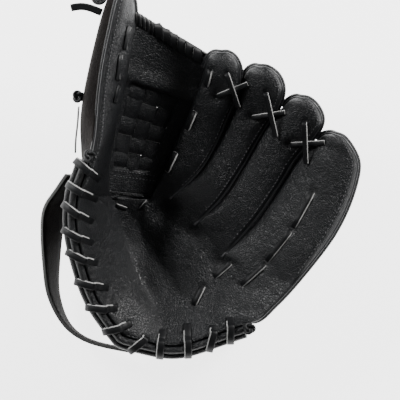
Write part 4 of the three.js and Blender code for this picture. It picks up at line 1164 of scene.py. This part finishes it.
class HeelLace(LaceMaker):
    """The lace whipped round both heel rolls and down through the palm."""

    rim = 1.5
    slip = 3.0
    spread = 0.16
    width = 6.8
    raw_from = 0.22
    sink = 3
    rise = 0.6
    rim_rise = 2.4
    tuck = 6
    tries = 40
    back_share = 0.2

    def build(self) -> None:
        """Builds every turn of the whip lace."""
        mesh = bmesh.new()
        shape = self.shape
        reach = max(stop[0] for stop in WHIP_LOOP)
        for x, y, share, slant in HEEL_HOLES:
            seat = self.seat(place(x, y))
            outer = share - slant
            _, out = shape.heel(outer)
            middle = self._crossing(seat.top, outer, reach)
            rim = shape.beside(middle, -self.rim, 0)
            loop = [shape.beside(lerp(middle, outer, stop[0] / reach), *stop) for stop in WHIP_LOOP]
            run = loop[3] - seat.top
            side = Vector((run.y, -run.x, 0)).normalized()
            if side.dot(Vector((-out.y, out.x, 0))) < 0:
                side.negate()
            points = [seat.top - seat.normal * self.sink, seat.top + seat.normal * self.rise]
            points += self.over(seat.top, rim, steps=5)
            points += [rim + UP * self.rim_rise, *loop, loop[-1] - out * self.tuck + side * self.slip]
            sweep(mesh, points, side, self.width, raw_from=self.raw_from)
        self.finish("heel_lace", mesh)

    def _crossing(self, hole: Vector, outer: float, reach: float) -> float:
        """Returns where along the heel edge the straight line from a hole to its outer turn crosses it."""
        shape = self.shape
        line = (shape.beside(outer, reach, 0) - hole).xy.normalized()
        stops = [outer + self.spread * (n / self.tries - self.back_share) for n in range(self.tries + 1)]
        return min(stops, key=lambda at: abs(line.cross((shape.beside(at, -self.rim, 0) - hole).xy)))


class WebLace(LaceMaker):
    """The lace wound round the web's top edge: tight turns near the thumb, then broad loops."""

    height = 3.0
    sink = 1.5
    stops = 8
    below = 1.5

    def build(self) -> None:
        """Builds both stretches of the wound lace."""
        mesh = bmesh.new()
        web = self.shape.web
        side = (web(0.6, 1) - web(0.4, 1)).normalized()
        for turns, first, end, width, reach in WEB_WRAPS:
            count = turns * self.stops
            points = [self._stop(n, lerp(first, end, n / count), reach) for n in range(count + 1)]
            sweep(mesh, points, side, width)
        self.finish("web_top_lace", mesh)

    def _stop(self, n: int, a: float, reach: float) -> Vector:
        """Returns one of the winding's points, round the web's top edge at share a."""
        angle = math.tau * n / self.stops
        shape = self.shape
        normal = shape.web_normal(a, 1)
        ahead = (shape.web(a, 1) - shape.web(a, 1 - 2 * SLOPE_STEP)).normalized()
        top = shape.web(a, 1) - normal * self.below
        return top + ahead * (math.cos(angle) * reach - self.sink) + normal * math.sin(angle) * self.height


class Knots(LaceMaker):
    """The laces' knots: a flat lace drawn into a tight three-leaved knot."""

    radius = 1.35
    width = 3.6
    thickness = 2.2
    rings = 64
    heave = 1.3
    tilt = 0.5
    toward_hand = {"thumb_back": Vector((5.4, -0.8, 0)), "thumb": Vector((0, 0, 0)), "heel": Vector((-1.5, 1.0, 0))}

    def build(self, nodes: dict) -> None:
        """Builds every knot at its CAD node."""
        for name, shift in self.toward_hand.items():
            corners = [vert.co for vert in nodes[f"{name}_knot"].data.vertices]
            centre = to_plan(sum(corners, Vector()) / len(corners)) + shift
            points, sides = [], []
            for n in range(self.rings + 1):
                turn = math.tau * n / self.rings
                spread = 2 + math.cos(3 * turn)
                across, up = math.cos(2 * turn), math.sin(2 * turn)
                leaf = Vector((spread * across, spread * up, self.heave * math.sin(3 * turn)))
                points.append(centre + leaf * self.radius)
                sides.append(Vector((across, up, self.tilt)))
            mesh = bmesh.new()
            sweep(mesh, points, sides, self.width, self.thickness)
            self.finish(f"{name}_knot", mesh)


class Stitching(LaceMaker):
    """Rows of small thread stitches sewn into the leather."""

    pitch = 2.9
    length = 1.9
    radius = 0.38
    web_rows = (0.665, 0.17, 0.14)
    web_ends = (0.06, 0.94)
    web_lift = 0.25
    seam_inset = 0.055
    seam_ends = (0.06, 0.93)
    seam_lift = 0.15

    def build(self) -> None:
        """Sews the web's rows and one along each digit's outer seam."""
        mesh = bmesh.new()
        for b in self.web_rows:
            self._row(mesh, lambda t, b=b: self._on_web(lerp(*self.web_ends, t), b), 60)
        for digit in self.shape.digits.values():
            side = self.seam_inset if digit.name == "thumb" else 1 - self.seam_inset
            self._row(mesh, lambda t, d=digit, s=side: self._on_front(d, s, lerp(*self.seam_ends, t)), 120)
        finish_object("", mesh, [self.wardrobe.thread], "seam_stitches")

    def _row(self, mesh: bmesh.types.BMesh, route: Callable[[float], Vector], samples: int) -> None:
        """Sews one row along a route given from 0 to 1 in the palm's plan."""
        line = [route(n / samples) for n in range(samples + 1)]
        gone = 0.0
        for a, b in zip(line, line[1:]):
            gone += (b - a).length
            if gone >= self.pitch:
                gone = 0.0
                self._stitch(mesh, a.lerp(b, 0.5), (b - a).normalized())

    def _stitch(self, mesh: bmesh.types.BMesh, plan: Vector, along: Vector) -> None:
        """Adds one stitch, lying along the row."""
        turn = along.to_track_quat("Z", "Y").to_matrix().to_4x4()
        spin = Matrix.Rotation(HAND_AXIS_TURN, 4, "Z")
        size = Matrix.Diagonal((self.radius * MM, self.radius * MM, self.length / 2 * MM, 1))
        place_at = Matrix.Translation(to_frame(plan)) @ spin @ turn @ size
        bmesh.ops.create_uvsphere(mesh, u_segments=6, v_segments=5, radius=1, matrix=place_at)

    def _on_web(self, a: float, b: float) -> Vector:
        """Returns a point set on the web panel."""
        return self.shape.web(a, b) + self.shape.web_normal(a, b) * self.web_lift

    def _on_front(self, digit: Digit, s: float, t: float) -> Vector:
        """Returns a point of a digit's front set on the leather."""
        seat = self.seat(self.shape.digit(digit, s, t))
        return seat.top + seat.normal * self.seam_lift


class Studio:
    """Camera, pale floor and soft lights."""

    photo_span = 352.2
    photo_centre = (139.1, 146.0, 50)
    distance = 3.0
    sensor = 36
    far = 20
    sky = 0.08
    floor_reach = 6
    floor_tone = 0.93
    floor_glow = 3.4

    def build(self) -> None:
        """Sets up the camera first, then the floor and the lights."""
        self._camera()
        self._floor()
        for name, row in LIGHTS.items():
            self._light(name, *row)
        world = bpy.data.worlds.new("studio")
        world.use_nodes = True
        background = world.node_tree.nodes["Background"]
        background.inputs["Color"].default_value = (1, 1, 1, 1)
        background.inputs["Strength"].default_value = self.sky
        bpy.context.scene.world = world

    def _camera(self) -> None:
        """Looks straight down at the palm, turned so that the hand stands as in the photo."""
        data = bpy.data.cameras.new("photo_camera")
        data.sensor_width = self.sensor
        data.lens = self.sensor * (self.distance - self.photo_centre[2] * MM) / (self.photo_span * MM)
        data.clip_end = self.far
        camera = bpy.data.objects.new("photo_camera", data)
        centre = to_frame(Vector(self.photo_centre))
        camera.location = (centre.x, centre.y, self.distance)
        camera.rotation_euler = (0, 0, HAND_AXIS_TURN)
        bpy.context.scene.collection.objects.link(camera)
        bpy.context.scene.camera = camera

    def _floor(self) -> None:
        """Adds a plain white floor."""
        mesh = bmesh.new()
        bmesh.ops.create_grid(mesh, x_segments=1, y_segments=1, size=self.floor_reach)
        data = bpy.data.meshes.new("floor")
        mesh.to_mesh(data)
        mesh.free()
        floor = bpy.data.objects.new("floor", data)
        graph = Graph("white_floor")
        for name, value in {
            "Base Color": (self.floor_tone, self.floor_tone, self.floor_tone, 1),
            "Roughness": 0.9,
            "Emission Color": (1, 1, 1, 1),
            "Emission Strength": self.floor_glow,
            "Specular IOR Level": 0.1,
        }.items():
            graph.shader.inputs[name].default_value = value
        data.materials.append(graph.material)
        bpy.context.scene.collection.objects.link(floor)

    def _light(self, name: str, at: tuple, size: float, power: float, colour: tuple) -> None:
        """Adds a soft area light that looks at the glove."""
        data = bpy.data.lights.new(name, "AREA")
        data.size = size
        data.energy = power
        data.color = colour
        light = bpy.data.objects.new(name, data)
        light.location = at
        light.rotation_euler = (-Vector(at)).to_track_quat("-Z", "Y").to_euler()
        bpy.context.scene.collection.objects.link(light)


def cad_pieces(wardrobe: Wardrobe) -> list[CadPiece]:
    """Returns the pieces whose CAD form is rounded and dressed as it is."""
    black, brown, lace = (wardrobe.black, Tone.BLACK), (wardrobe.brown, Tone.BROWN), (wardrobe.lace, Tone.LACE)
    pieces = [CadPiece(f"{name}_back", *black) for name in ("hand", "index", "middle", "ring", "pinky")]
    pieces.append(CadPiece("thumb_back", *brown))
    pieces.append(CadPiece("wrist_strap", *brown, edge_material=wardrobe.strap_edge, thin=3.4 * MM, crease=1.0))
    pieces += [CadPiece(name, *black, crease=1.0) for name in ("crotch_panel", "heel_wing")]
    pieces += [CadPiece(name, *lace, edge_material=wardrobe.raw) for name in ("thumb_back_tail", "tip_strap")]
    pieces.append(CadPiece("holed_tab", *black))
    return pieces


def lace_holes() -> list[Vector]:
    """Returns every lace hole in the front, in the palm's plan."""
    holes = [place(*hole) for row in RUNNING_LACES.values() for hole in row]
    holes += [place(x, y) for x, y, _, _ in HEEL_HOLES]
    holes += [place(*tie[part][0]) for tie in FINGER_TIES.values() for part in ("tail", "cross")]
    return holes


def main() -> None:
    """Builds the glove, dresses it and sets up the studio."""
    logging.basicConfig(level=logging.INFO, format="%(name)s: %(message)s")
    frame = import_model()
    Studio().build()
    shape = HandShape()
    wardrobe = Wardrobe()
    front = Front(shape, wardrobe, lace_holes()).build()
    LOG.info("front has %d faces", len(front.data.polygons))
    finished = {piece.node: piece.build(frame["nodes"]) for piece in cad_pieces(wardrobe)}
    LOG.info("%d pieces rounded from the CAD", len(finished))
    welts = Welts(shape, wardrobe).build()
    HeelRolls(shape, wardrobe).build()
    WebPanel(shape, wardrobe).build()
    Weave(shape, wardrobe).build()
    bpy.context.view_layer.update()
    laid_on = (shape, wardrobe, solid_bvh([front, *welts]))
    for laces in (RunningLaces, FingerTies, HeelLace, WebLace):
        laces(*laid_on).build()
    Knots(*laid_on).build(frame["nodes"])
    Stitching(*laid_on).build()
    LOG.info("laces, knots and stitches laid")


if __name__ == "__main__":
    main()
